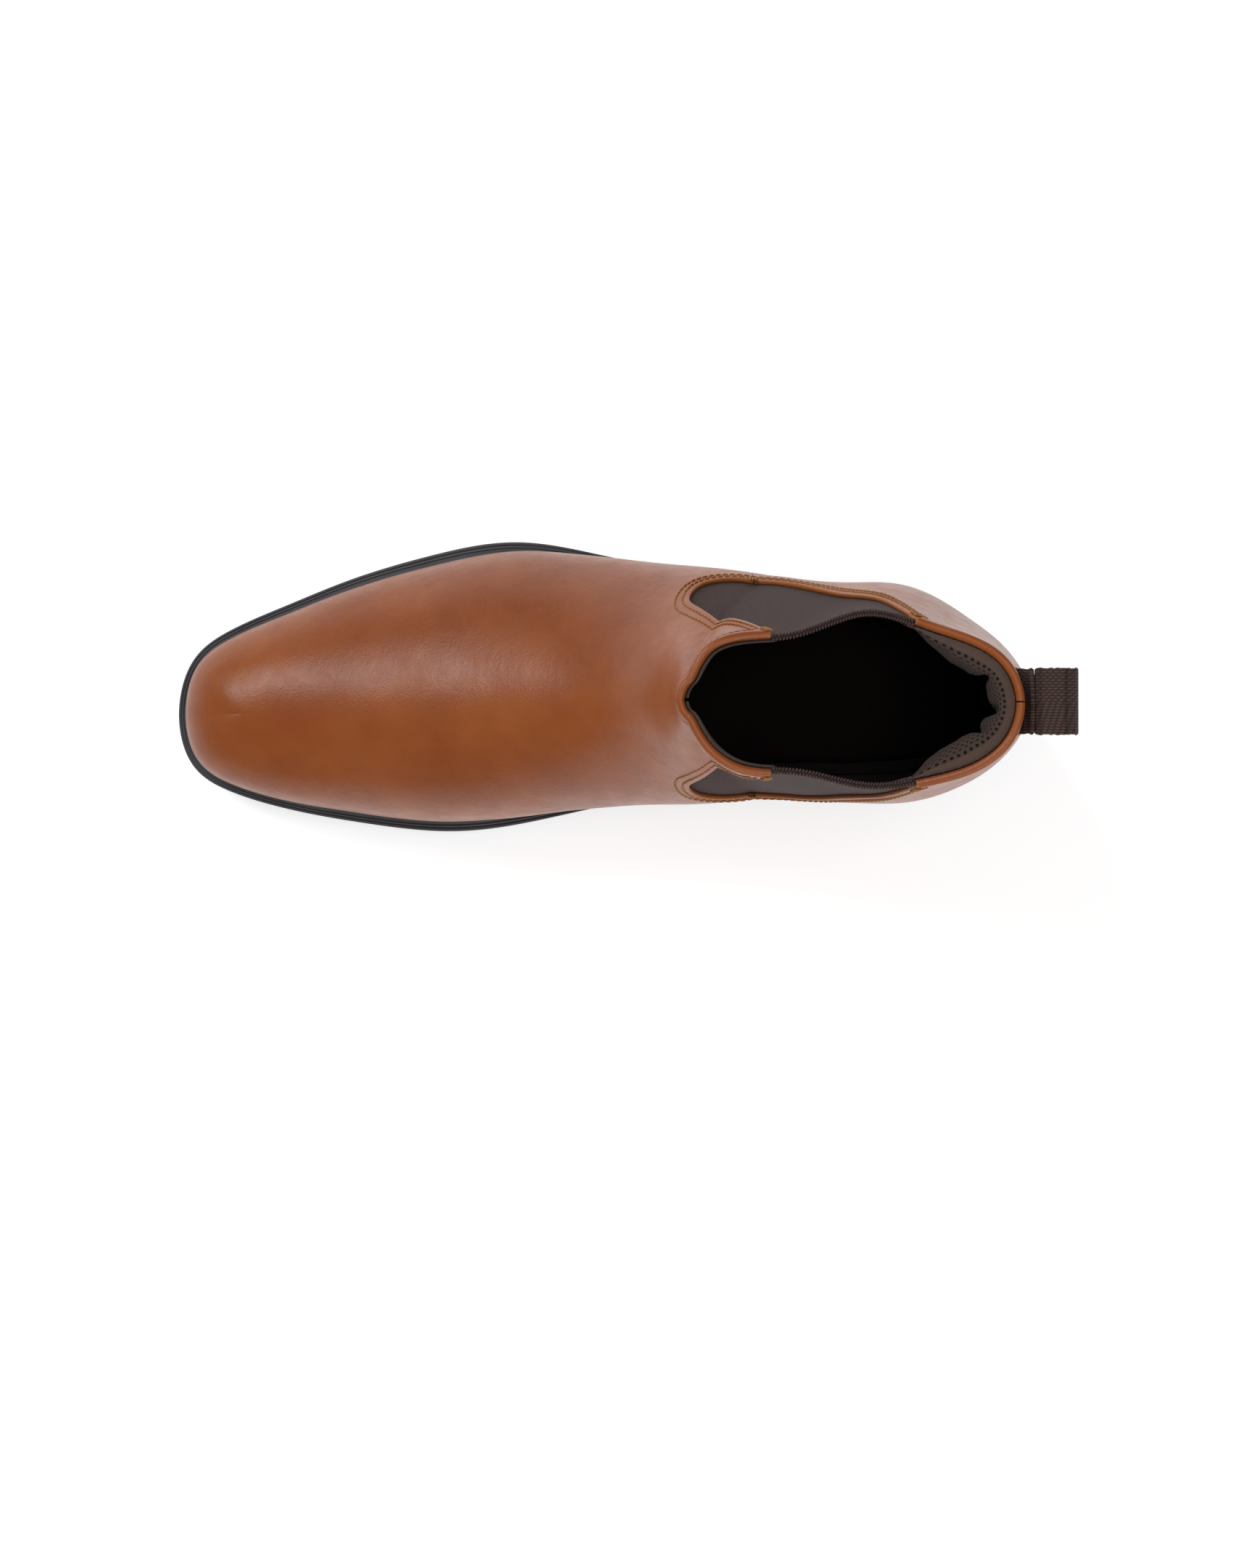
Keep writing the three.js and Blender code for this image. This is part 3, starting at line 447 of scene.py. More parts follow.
def edge_of(triangles):
    """The directed edges that only one triangle has."""
    edges = np.concatenate([triangles[:, [0, 1]], triangles[:, [1, 2]], triangles[:, [2, 0]]])
    both = np.sort(edges, 1)
    _, index, count = np.unique(both, axis=0, return_inverse=True, return_counts=True)
    return edges[count[index.ravel()] == 1]


SETTLE_MOST = 1.4  # millimetres that evening out may move a point


def relaxed(vertices, triangles, weight, rounds):
    """Each point moves towards the mean of its neighbours, then back a little more, so nothing shrinks."""
    edges = np.concatenate([triangles[:, [0, 1]], triangles[:, [1, 2]], triangles[:, [2, 0]]])
    edges = np.unique(np.sort(edges, 1), axis=0)
    edges = edges[(weight[edges] > 0).any(1)]
    count = np.bincount(edges.ravel(), minlength=len(vertices))[:, None]
    moves = np.minimum(weight, 1)[:, None] * (count > 0)
    for turn in range(rounds):
        total = np.stack([
            np.bincount(edges[:, 0], vertices[edges[:, 1], k], len(vertices))
            + np.bincount(edges[:, 1], vertices[edges[:, 0], k], len(vertices))
            for k in range(3)
        ], 1)
        step = moves * (total / np.maximum(count, 1) - vertices)
        vertices = vertices + (0.6 if turn % 2 == 0 else -0.62) * step
    return vertices


def evened(side, n, triangles, weight):
    """Moves a surface along its normals towards its relaxed shape, by no more than SETTLE_MOST."""
    drift = relaxed(side, triangles, weight, int(70 * FINE)) - side
    along = np.clip((drift * n).sum(1), -SETTLE_MOST, SETTLE_MOST)
    return side + n * along[:, None]


def sheet_solid(name, net, outer_depth, inner_depth, settle=None):
    """A closed solid between two depths under the skin. settle says where it is evened out."""
    points, triangles = net
    a, t = points.T
    n = normal(a, t)
    base = skin(a, t)
    outer = base - n * outer_depth(points)[:, None]
    inner = base - n * inner_depth(points)[:, None]
    if settle is not None:
        outer, inner = [evened(side, n, triangles, settle(points)) for side in (outer, inner)]
    count = len(points)
    rim = edge_of(triangles)
    walls = np.stack([rim[:, 1], rim[:, 0], rim[:, 0] + count, rim[:, 1] + count], 1)
    faces = [triangles, triangles[:, ::-1] + count, walls]
    return add_object(name, metres(np.concatenate([outer, inner])), faces)


def set_attribute(obj, name, values):
    """Stores one number per point of a sheet solid, for its outer and its inner face."""
    layer = obj.data.attributes.new(name, "FLOAT", "POINT")
    layer.data.foreach_set("value", np.tile(np.asarray(values, np.float32), 2))


def set_uv(obj, points_uv):
    """Gives every vertex of a sheet solid its place on the flat pattern, in millimetres."""
    layer = obj.data.uv_layers.new(name="pattern")
    corner = np.empty(len(obj.data.loops), np.int32)
    obj.data.loops.foreach_get("vertex_index", corner)
    layer.data.foreach_set("uv", np.tile(points_uv, (2, 1))[corner].astype(np.float32).ravel())


def catmull(points, count):
    """The centripetal Catmull-Rom curve through points, sampled evenly in its own parameter."""
    p = np.asarray(points, float)
    p = np.concatenate([[2 * p[0] - p[1]], p, [2 * p[-1] - p[-2]]])
    u = np.linspace(0, len(points) - 1, count + 1)
    i = np.minimum(u.astype(int), len(points) - 2)
    w = (u - i)[:, None]
    p0, p1, p2, p3 = p[i], p[i + 1], p[i + 2], p[i + 3]
    d0, d1, d2 = [np.sqrt(np.linalg.norm(e, axis=1, keepdims=True)) for e in (p1 - p0, p2 - p1, p3 - p2)]
    m1 = ((p1 - p0) / d0 - (p2 - p0) / (d0 + d1) + (p2 - p1) / d1) * d1
    m2 = ((p2 - p1) / d1 - (p3 - p1) / (d1 + d2) + (p3 - p2) / d2) * d1
    c2 = -3 * p1 + 3 * p2 - 2 * m1 - m2
    c3 = 2 * p1 - 2 * p2 + m1 + m2
    return p1 + m1 * w + c2 * w * w + c3 * w ** 3


def inside_and_distance(x, z, line):
    """Distance from a closed outline in side view, positive outside it."""
    a = line
    b = np.roll(line, -1, 0)
    best = np.full(x.shape, np.inf)
    crossings = np.zeros(x.shape, int)
    for (ax, az), (bx, bz) in zip(a, b):
        ux, uz = bx - ax, bz - az
        w = np.clip(((x - ax) * ux + (z - az) * uz) / (ux * ux + uz * uz + 1e-12), 0, 1)
        best = np.minimum(best, np.hypot(x - ax - w * ux, z - az - w * uz))
        if az != bz:
            hit = ((az > z) != (bz > z)) & (x < ax + (z - az) / (bz - az) * ux)
            crossings += hit
    return np.where(crossings % 2 == 1, -best, best)


# The pattern's lines in side view: the gore opening, the collar and the side seam.
GORE = np.array([
    [56, 172], [46.5, 149], [36, 128], [25.5, 106], [21, 92], [25, 81.5], [34, 76.5], [44, 75.5],
    [56, 80], [66.5, 91], [76, 108], [86, 128], [94.5, 149], [102, 172],
])
COLLAR = np.array([
    [-20, 149], [6, 151], [17, 152.5], [30, 152], [46, 149.5], [70, 147.5], [94, 150], [112, 154],
    [131, 157], [150, 158.5],
])
SEAM_X = 43
gore_line = catmull(GORE, 130)
collar_line = catmull(COLLAR, 200)


def collar_field(points):
    """How far below the collar line a point of the skin is."""
    p = skin(*points.T)
    return np.interp(p[:, 0], collar_line[:, 0], collar_line[:, 1]) - p[:, 2]


def gore_field(points):
    """How far outside the gore opening a point of the skin is."""
    p = skin(*points.T)
    return inside_and_distance(p[:, 0], p[:, 2], gore_line)


def seam_field(points):
    """How far in front of the side seam a point of the skin is."""
    p = skin(*points.T)
    return SEAM_X + np.clip((p[:, 2] - 10) / 70, 0, 1) + np.maximum(0, p[:, 2] - 80) * 0.15 - p[:, 0]


def foot_field(points):
    """How far above the feather line a point of the skin is."""
    a, t = points.T
    return skin(a, t)[:, 2] - feather(a)[:, 2]


def round_edge(distance, radius):
    """How deep a rounded edge lies at this distance from it."""
    d = np.clip(distance, 0, radius)
    return radius - np.sqrt(np.maximum(0, radius ** 2 - (radius - d) ** 2))


def lumps(seed, position, size, count=24):
    """Soft random unevenness between about -1 and 1, from waves of about the given size."""
    waves = np.random.default_rng(seed)
    total = np.zeros(len(position))
    for _ in range(count):
        direction = unit(waves.normal(size=3))
        total += np.sin(position @ direction * 2 * np.pi / (size * waves.uniform(0.7, 1.8))
                        + waves.uniform(0, 6.28))
    return total / np.sqrt(count)


# ---------------------------------------------------------------- the leather upper
# One front panel, cut out for the gores, and two quarters that meet behind. The collar edge is folded
# over, a double thickness with a sewn line under it; the gore edges are cut raw.
LEATHER = 1.6
FOLD_RADIUS = 1.5
FOLD_THICKNESS = 3.0
FOLD_DEPTH = 7.0
CUT_RADIUS = 0.55


def leather_outer(points, fields):
    """Depth of the outer face: rolled edges, a sewn line and the pull at the welt."""
    p = skin(*points.T)
    collar = collar_field(points)
    depth = round_edge(collar, FOLD_RADIUS)
    depth = np.maximum(depth, round_edge(gore_field(points), CUT_RADIUS))
    for field in fields:
        depth = np.maximum(depth, round_edge(field(points), CUT_RADIUS))
    depth += 0.35 * np.exp(-((collar - 3.5) / 0.55) ** 2)
    depth += 0.9 * np.exp(-foot_field(points) / 1.1)
    depth -= 0.16 * lumps(3, p, 34) * smooth(foot_field(points) / 12) * smooth((collar - 4) / 10)
    return depth


def leather_inner(points):
    """Depth of the inner face: one thickness, two where the collar is folded."""
    collar = collar_field(points)
    folded = smooth((FOLD_DEPTH - collar) / 2.0)
    depth = LEATHER + (FOLD_THICKNESS - LEATHER) * folded
    return depth - round_edge(collar, FOLD_RADIUS) * folded


def over_the_ridge(points):
    """1 along the top of the foot and 0 by its sides, at the collar and below it."""
    away = smooth((collar_field(points) - 6) / 8)
    s = station_of(points[:, 0])
    return smooth((points[:, 1] - 0.70) / 0.2) * away * (s < RIDGE_PURE)


def leather_piece(name, net, seams, node_name):
    """Cuts a net at the collar, the gores and its seams, and makes it leather."""
    net = split(net, collar_field, 0, keep_above=True)
    net = split(net, gore_field, 0, keep_above=True)
    for seam in seams:
        net = split(net, seam, 0.12, keep_above=True)
    net = rolled(net, collar_field, FOLD_RADIUS)
    for level in (2.5, 3.0, 3.5, 4.0, 4.6):
        net = split(net, collar_field, level)
    net = rolled(net, gore_field, CUT_RADIUS)
    for seam in seams:
        net = rolled(net, seam, CUT_RADIUS)
    net = weld_ridge(net)
    points, triangles = net
    piece = sheet_solid(name, net, lambda q: leather_outer(q, seams), leather_inner, settle=over_the_ridge)
    p = skin(*points.T)
    edges = np.minimum(gore_field(points), collar_field(points) + 0.3)
    set_attribute(piece, "edge", edges)
    # Height over the feather line and, next, a soft patch on the toe cap: both darken the leather's colour as
    # painted shade.
    set_attribute(piece, "foot", foot_field(points))
    toe_painted_shade = np.exp(-((p[:, 0] + 119) / 15) ** 2 - ((p[:, 1] + 10) / 13) ** 2)
    set_attribute(piece, "toe_painted_shade", toe_painted_shade)
    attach(piece, "boot")
    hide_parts(node_name)
    return piece


def cognac_leather():
    """Polished calf with painted shade darkening the top of the toe and the leather low down by the welt,
    lighter raw edges, fine pores, soft creases.
    """
    material, tree, bsdf = shader("cognac_leather")
    place = node(tree, "TexCoord", 3)
    cloud = node(tree, "TexNoise", Vector=place, Scale=22.0, Detail=4.0, Roughness=0.6)
    fine = node(tree, "TexNoise", Vector=place, Scale=160.0, Detail=5.0, Roughness=0.65)
    base = ramp(tree, cloud, [
        (0.30, (0.205, 0.047, 0.0095)),
        (0.48, (0.262, 0.066, 0.0140)),
        (0.62, (0.300, 0.082, 0.0190)),
        (0.78, (0.345, 0.104, 0.0275)),
    ])
    mottled = blend(tree, maths(tree, "MULTIPLY", fine, 0.35), base, (0.20, 0.045, 0.010), "MIX")
    # Painted shade: the top of the toe cap is darkened in colour.
    toe_painted_shade = node(tree, "Attribute", 2, attribute_name="toe_painted_shade")
    with_painted_shade = blend(tree, maths(tree, "MULTIPLY", toe_painted_shade, 0.75), mottled, (0.235, 0.050, 0.009))
    # Painted shade: the colour darkens over the lowest 12 mm or so of the leather, down into the join with
    # the welt.
    foot = node(tree, "Attribute", 2, attribute_name="foot")
    low = maths(tree, "SUBTRACT", 1.0, maths(tree, "MULTIPLY", foot, 0.085))
    low = node(tree, "Clamp", Value=low)
    with_painted_shade = blend(tree, maths(tree, "MULTIPLY", low, 0.65), with_painted_shade, (0.165, 0.036, 0.008))
    edge = node(tree, "Attribute", 2, attribute_name="edge")
    raw = node(tree, "MapRange", Value=edge, From_Min=0.0, From_Max=0.5, To_Min=0.75, To_Max=0.0)
    final = blend(tree, raw, with_painted_shade, (0.36, 0.125, 0.034))
    join(tree, final, bsdf.inputs["Base Color"])
    pores = node(tree, "TexVoronoi", Vector=place, Scale=1500.0)
    grain = node(tree, "TexNoise", Vector=place, Scale=700.0, Detail=4.0, Roughness=0.6)
    creases = node(tree, "TexNoise", Vector=node(tree, "Mapping", Vector=place, Scale=(1.0, 0.28, 1.0),
                                                 Rotation=(0, 0, 0.5)), Scale=330.0, Detail=3.0)
    skin_bump = bump(tree, pores, 0.00012, 0.35)
    skin_bump = bump(tree, grain, 0.00022, 0.35, skin_bump)
    skin_bump = bump(tree, creases, 0.0005, 0.22, skin_bump)
    join(tree, skin_bump, bsdf.inputs["Normal"])
    rough = node(tree, "MapRange", Value=fine, From_Min=0.3, From_Max=0.7, To_Min=0.30, To_Max=0.42)
    join(tree, rough, bsdf.inputs["Roughness"])
    bsdf.inputs["Specular IOR Level"].default_value = 0.27
    bsdf.inputs["Coat Weight"].default_value = 0.07
    bsdf.inputs["Coat Roughness"].default_value = 0.28
    return material


shared_stations = np.concatenate([
    np.linspace(0, 0.14, int(48 * FINE))[:-1], np.linspace(0.14, 0.6, int(134 * FINE))[:-1],
    np.linspace(0.6, 0.8, int(90 * FINE)),
])
vamp_stations = np.concatenate([-shared_stations[:0:-1], shared_stations])
heights = np.linspace(0, 1, int(110 * FINE))
leather = cognac_leather()
vamp_heights = np.linspace(0, 1, int(88 * FINE))
vamp = leather_piece("vamp_leather", net_over(vamp_stations, vamp_heights), [seam_field], "vamp")
vamp.data.materials.append(leather)

quarter_stations = np.linspace(0.56, 1.0, int(230 * FINE))


def back_seam_field(points):
    """How far a point is from the seam down the middle of the back, along the skin."""
    return (1 - np.abs(points[:, 0])) * 190


def behind_seam(points):
    return -seam_field(points)


for word, sign in (("outer", 1), ("inner", -1)):
    stations = quarter_stations if sign > 0 else -quarter_stations[::-1]
    quarter = leather_piece(
        f"quarter_{word}_leather", net_over(stations, heights), [behind_seam, back_seam_field],
        f"quarter_{word}",
    )
    quarter.data.materials.append(leather)

# ---------------------------------------------------------------- elastic gores
# Dark knitted elastic let in behind each opening, so that the boot can be pulled on. It lies flat under
# the leather and laps it by a few millimetres all round.
UNDER_LEATHER = LEATHER + GAP
STIFFENER = 1.2
GORE_LAP = 7.5
BINDING_HEIGHT = 4.0
BINDING_THICKNESS = 2.4


def elastic_knit():
    """Fine twill of covered rubber: slanting ribs, darker between them, with a slight sheen."""
    material, tree, bsdf = shader("elastic_knit")
    pattern = node(tree, "UVMap", uv_map="pattern")
    across = node(tree, "SeparateXYZ", 0, Vector=pattern)
    up = node(tree, "SeparateXYZ", 1, Vector=pattern)
    slant = maths(tree, "MULTIPLY_ADD", across, 1.0, maths(tree, "MULTIPLY", up, 0.6))
    rib = maths(tree, "SINE", maths(tree, "MULTIPLY", slant, 8.4))
    cross_rib = maths(tree, "SINE", maths(tree, "MULTIPLY", up, 11.0))
    weave = maths(tree, "MULTIPLY_ADD", rib, 0.3, maths(tree, "MULTIPLY_ADD", cross_rib, 0.2, 0.5))
    place = node(tree, "TexCoord", 3)
    fuzz = node(tree, "TexNoise", Vector=place, Scale=1400.0, Detail=3.0)
    wear = node(tree, "TexNoise", Vector=place, Scale=45.0, Detail=3.0)
    colour = blend(tree, weave, (0.016, 0.0080, 0.0070), (0.064, 0.033, 0.030))
    colour = blend(tree, maths(tree, "MULTIPLY", fuzz, 0.35), colour, (0.072, 0.040, 0.036))
    colour = blend(tree, maths(tree, "MULTIPLY", wear, 0.3), colour, (0.03, 0.02, 0.018))
    join(tree, colour, bsdf.inputs["Base Color"])
    relief = bump(tree, weave, 0.00018, 0.8)
    join(tree, bump(tree, fuzz, 0.0001, 0.4, relief), bsdf.inputs["Normal"])
    bsdf.inputs["Roughness"].default_value = 0.72
    bsdf.inputs["Specular IOR Level"].default_value = 0.12
    bsdf.inputs["Sheen Weight"].default_value = 0.05
    bsdf.inputs["Sheen Roughness"].default_value = 0.4
    return material


elastic = elastic_knit()
gore_heights = np.linspace(0.3, 1, int(90 * FINE))
for word, sign in (("outer", 1), ("inner", -1)):
    gore_stations = np.sort(np.linspace(0.6, 0.97, int(150 * FINE)) * sign)
    net = net_over(gore_stations, gore_heights)
    net = split(net, lambda q: GORE_LAP - gore_field(q), 0, keep_above=True)
    net = split(net, collar_field, 0.9, keep_above=True)
    gore = sheet_solid(
        f"gore_{word}_elastic", net,
        lambda q: np.full(len(q), UNDER_LEATHER - 0.2), lambda q: np.full(len(q), UNDER_LEATHER + STIFFENER),
    )
    p = skin(*net[0].T)
    set_uv(gore, p[:, [0, 2]])
    gore.data.materials.append(elastic)
    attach(gore, "boot")
    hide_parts(f"gore_{word}")


# ---------------------------------------------------------------- thread
# Waxed thread in two rows round each gore, a fine row under the folded collar,
# and the knots that hold the corners and the foot of each gore.
STITCH_ROWS = (2.2, 4.8)
STITCH_RADIUS = 0.34


def skin_under(x, z, sign):
    """Stations and heights on one side of the skin whose side view is x and z, from 0.55 to the heel."""
    a, t = np.meshgrid(np.linspace(0.55, 0.96, 130) * sign, np.linspace(0.15, 1, 90), indexing="ij")
    a, t = a.ravel(), t.ravel()
    known = skin(a, t)
    nearest = ((x[:, None] - known[:, 0]) ** 2 + (z[:, None] - known[:, 2]) ** 2).argmin(1)
    a, t = a[nearest], t[nearest]
    for _ in range(4):
        here = skin(a, t)[:, [0, 2]]
        by_a = (skin(a + 1e-4, t)[:, [0, 2]] - here) / 1e-4
        by_t = (skin(a, t + 1e-4)[:, [0, 2]] - here) / 1e-4
        miss = stack(x, z) - here
        area = by_a[:, 0] * by_t[:, 1] - by_a[:, 1] * by_t[:, 0]
        a = a + np.clip((miss[:, 0] * by_t[:, 1] - miss[:, 1] * by_t[:, 0]) / area, -0.01, 0.01)
        t = t + np.clip((by_a[:, 0] * miss[:, 1] - by_a[:, 1] * miss[:, 0]) / area, -0.02, 0.02)
    return a, np.minimum(t, 0.9999)


def tubes(name, paths, radii, facing, sides=8):
    """One mesh of many short threads: paths is thread, point, xyz, and facing their upward directions."""
    along = unit(np.gradient(paths, axis=1))
    across = unit(np.cross(along, facing))
    lift = np.cross(across, along)
    angle = np.arange(sides) * 2 * np.pi / sides
    rim = np.cos(angle)[:, None] * across[:, :, None] + np.sin(angle)[:, None] * lift[:, :, None]
    vertices = paths[:, :, None] + rim * radii[None, :, None, None]
    count, rows = paths.shape[:2]
    one = grid_faces(rows, sides, close_columns=True)
    walls = (one[None] + np.arange(count)[:, None, None] * rows * sides).reshape(-1, 4)
    starts = np.arange(count)[:, None] * rows * sides
    ends = starts + (rows - 1) * sides
    caps = [starts + np.arange(sides), ends + np.arange(sides)[::-1]]
    return add_object(name, metres(vertices.reshape(-1, 3)), [walls[:, ::-1], *caps])


def thread_profile(rows=9):
    """A stitch's radius along it, 0 at its buried ends and 1 in the middle, and how high it stands."""
    u = np.linspace(-1, 1, rows)
    return np.sqrt(np.maximum(0.02, 1 - u ** 6)), 1 - np.abs(u) ** 4


def lengths_along(path):
    """The length from the start of a path to each of its points."""
    return np.concatenate([[0], np.cumsum(np.linalg.norm(np.diff(path, axis=0), axis=1))])


def stitches(name, a, t, length, radius, depth=0.0):
    """Threads along a path of the skin given by closely spaced points, one every 1.16 stitch lengths."""
    p = skin(a, t)
    run = lengths_along(p)
    starts = np.arange(0.4, run[-1] - length, length * 1.16)
    round_profile, lift = thread_profile()
    at = starts[:, None] + np.linspace(0, length, len(lift))
    aa, tt = np.interp(at, run, a), np.interp(at, run, t)
    n = normal(aa, tt)
    paths = skin(aa, tt) + n * (radius * 1.1 * lift - radius * 0.55 - depth)[None, :, None]
    return tubes(name, paths, radius * round_profile, n)


def waxed_thread(name, light, dark):
    """Twisted thread: fine slanting strands, darker in the lay between them."""
    material, tree, bsdf = shader(name)
    place = node(tree, "TexCoord", 3)
    strand = node(tree, "TexWave", Vector=place, Scale=900.0, Distortion=1.5, bands_direction="DIAGONAL")
    soil = node(tree, "TexNoise", Vector=place, Scale=120.0, Detail=3.0)
    colour = blend(tree, strand, dark, light)
    colour = blend(tree, maths(tree, "MULTIPLY", soil, 0.5), colour, dark)
    join(tree, colour, bsdf.inputs["Base Color"])
    join(tree, bump(tree, strand, 0.0001, 0.6), bsdf.inputs["Normal"])
    bsdf.inputs["Roughness"].default_value = 0.55
    bsdf.inputs["Specular IOR Level"].default_value = 0.25
    return material


gold_thread = waxed_thread("gold_thread", (0.47, 0.215, 0.070), (0.20, 0.075, 0.020))
brown_thread = waxed_thread("brown_thread", (0.34, 0.13, 0.045), (0.12, 0.035, 0.01))


def gore_offset(out):
    """The gore's outline moved out, cut off under the collar, as x and z."""
    way = unit(np.gradient(gore_line, axis=0))
    moved = gore_line + out * stack(way[:, 1], -way[:, 0])
    under = np.interp(moved[:, 0], collar_line[:, 0], collar_line[:, 1]) - moved[:, 1]
    moved = moved[under > 2.6]
    steps = np.linspace(0, len(moved) - 1, 700)
    return stack(*[np.interp(steps, np.arange(len(moved)), moved[:, k]) for k in (0, 1)])


if inside_and_distance(gore_offset(1.0)[:1, 0], gore_offset(1.0)[:1, 1], gore_line)[0] < 0:
    gore_line = gore_line[::-1].copy()
for word, sign in (("outer", 1), ("inner", -1)):
    for row, out in enumerate(STITCH_ROWS, 1):
        line = gore_offset(out)
        a, t = skin_under(line[:, 0], line[:, 1], sign)
        seam = stitches(f"gore_stitching_{word}_{row}", a, t, 2.2, STITCH_RADIUS)
        seam.data.materials.append(gold_thread)
        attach(seam, "boot")
        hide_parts(f"gore_stitches_{word}_{row}")


def under_collar(a, drop):
    """The height of each station's line where it lies `drop` below the collar."""
    low, high = np.full(len(a), 0.3), np.ones(len(a))
    for _ in range(26):
        middle = (low + high) / 2
        below = collar_field(stack(a, middle)) > drop
        low, high = np.where(below, middle, low), np.where(below, high, middle)
    return low


def collar_stretches(drop, margin):
    """The stations along the collar on the leather: the front, and the back from gore to gore."""
    for name, ends in (("front", (-0.80, 0.80)), ("back", (0.80, 1.20))):
        a = np.linspace(*ends, 900)
        if name == "front":
            a = a[np.abs(a) > 0.712]
            a = np.concatenate([a[a < 0] + 2, a[a > 0]])
            a = np.sort(a)
        t = under_collar(a, drop)
        clear = gore_field(stack(a, t)) > margin
        if name == "back":
            yield "back", a[clear], t[clear]
            continue
        for word, part in (("front_outer", a <= 1), ("front_inner", a > 1)):
            yield word, a[clear & part], t[clear & part]


round_profile, lift = thread_profile()
for word, a, t in collar_stretches(3.5, 1.5):
    seam = stitches(f"collar_stitching_{word}", a, t, 2.0, 0.26, depth=0.35)
    seam.data.materials.append(brown_thread)
    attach(seam, "boot")

# The knots: three turns of thread over each gore corner at the collar, and over the foot of the seam.
knot_places = []
for sign in (1, -1):
    for x, z in ((45.6, 147.9), (45.0, 146.6), (46.1, 148.8), (94.6, 148.4), (94.1, 147.0), (93.6, 145.7),
                 (43.4, 75.9), (44.4, 75.7), (42.5, 76.0)):
        knot_places.append((x, z, sign))
knot_places = np.array(knot_places)
knot_paths = []
knot_normals = []
for sign in (1, -1):
    rows = knot_places[knot_places[:, 2] == sign]
    a, t = skin_under(rows[:, 0], rows[:, 1], sign)
    n = normal(a, t)
    here = skin(a, t)
    inward = stack(np.sign(70 - rows[:, 0]) * (rows[:, 1] > 100), 0.0, np.where(rows[:, 1] > 100, 0.25, 1.0))
    inward = unit(inward - n * (inward * n).sum(1, keepdims=True))
    reach = np.linspace(-1.7, 1.4, len(lift))
    above = (0.6 * lift - 0.2)[:, None]
    knot_paths.append(here[:, None] + inward[:, None] * reach[:, None] + n[:, None] * above)
    knot_normals.append(np.broadcast_to(n[:, None], knot_paths[-1].shape))
knots = tubes("gore_knots", np.concatenate(knot_paths), 0.42 * round_profile, np.concatenate(knot_normals))
knots.data.materials.append(gold_thread)
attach(knots, "boot")

# ---------------------------------------------------------------- gore bindings
# A folded tape closes the top of each elastic, with two close rows of purled edge along it.
BEAD_PITCH = 1.05
purl_thread = waxed_thread("purl_thread", (0.095, 0.058, 0.052), (0.028, 0.016, 0.014))
for word, sign in (("outer", 1), ("inner", -1)):
    middle_depth = UNDER_LEATHER + STIFFENER / 2
    stations = np.sort(np.linspace(0.7, 0.97, int(170 * FINE)) * sign)
    net = net_over(stations, np.linspace(0.82, 1, int(60 * FINE)))
    net = split(net, lambda q: -0.3 - gore_field(q), 0, keep_above=True)
    net = split(net, collar_field, 0.5, keep_above=True)
    net = split(net, lambda q: BINDING_HEIGHT - collar_field(q), 0, keep_above=True)
    for level in (0.6, 0.8, 1.1, 1.5, 3.4, 3.7):
        net = split(net, collar_field, level)

    def half_thick(q):
        """Half the tape's thickness: full along the middle, rounded at the top and pressed thin below."""
        drop = collar_field(q)
        return BINDING_THICKNESS / 2 - 0.9 * round_edge(drop - 0.5, 1.0) - 0.45 * smooth((drop - 2.6) / 1.2)

    tape = sheet_solid(
        f"gore_binding_{word}_tape", net,
        lambda q: middle_depth - half_thick(q), lambda q: middle_depth + half_thick(q),
    )
    p = skin(*net[0].T)
    set_uv(tape, p[:, [0, 2]])
    tape.data.materials.append(elastic)
    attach(tape, "boot")
    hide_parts(f"gore_binding_{word}")

    a = np.linspace(0.72, 0.96, 900) * sign
    t = under_collar(a, 0.7)
    inside = gore_field(stack(a, t)) < -0.2
    a, t = a[inside], t[inside]
    p = skin(a, t)
    run = lengths_along(p)
    bead_paths = []
    for row, offset in enumerate((-0.62, 0.62)):
        at = np.arange(0.5 + 0.5 * row, run[-1] - 0.4, BEAD_PITCH)
        beads = np.interp(at, run, a)
        heights_at = np.interp(at, run, t)
        n = normal(beads, heights_at)
        way = unit(np.cross(n, [0, 0, 1.0]))
        reach = np.linspace(-0.62, 0.62, len(lift))
        tilt = (way * 0.55 + n * (0.85 if row else -0.85))[:, None] * reach[:, None]
        path = skin(beads, heights_at)[:, None] - n[:, None] * (middle_depth + offset) + tilt
        path[..., 2] += 0.35 * lift + 0.1
        bead_paths.append(path)
    bead_paths = np.concatenate(bead_paths)
    upright = np.broadcast_to([0, 0, 1.0], bead_paths.shape)
    purl = tubes(f"gore_purl_{word}", bead_paths, 0.4 * round_profile, upright)
    purl.data.materials.append(purl_thread)
    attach(purl, "boot")

# ---------------------------------------------------------------- linings and the padded collar
# Spacer mesh lines the shaft. Round the heel it is drawn over foam and caught down in three places, so it
# swells into four puffs; the front lining lies flat. Both are turned in just under the collar's fold.
UNDER_STIFFENER = UNDER_LEATHER + STIFFENER + GAP
LINING = 1.0
PAD_CENTRE = np.array([100.0, -5.0])
PAD_TUCKS = (30.0, -8.0, -33.0)  # degrees round the heel from straight back
PAD_KNOTS = np.array([
    [-180, 0], [-110, 1.0], [-95, 3.5], [-75, 6.5], [-52, 8.0], [-33, 6.6], [-20, 6.2], [-8, 5.6],
    [8, 6.0], [30, 5.8], [45, 7.4], [65, 6.4], [85, 3.6], [100, 1.0], [180, 0],
])


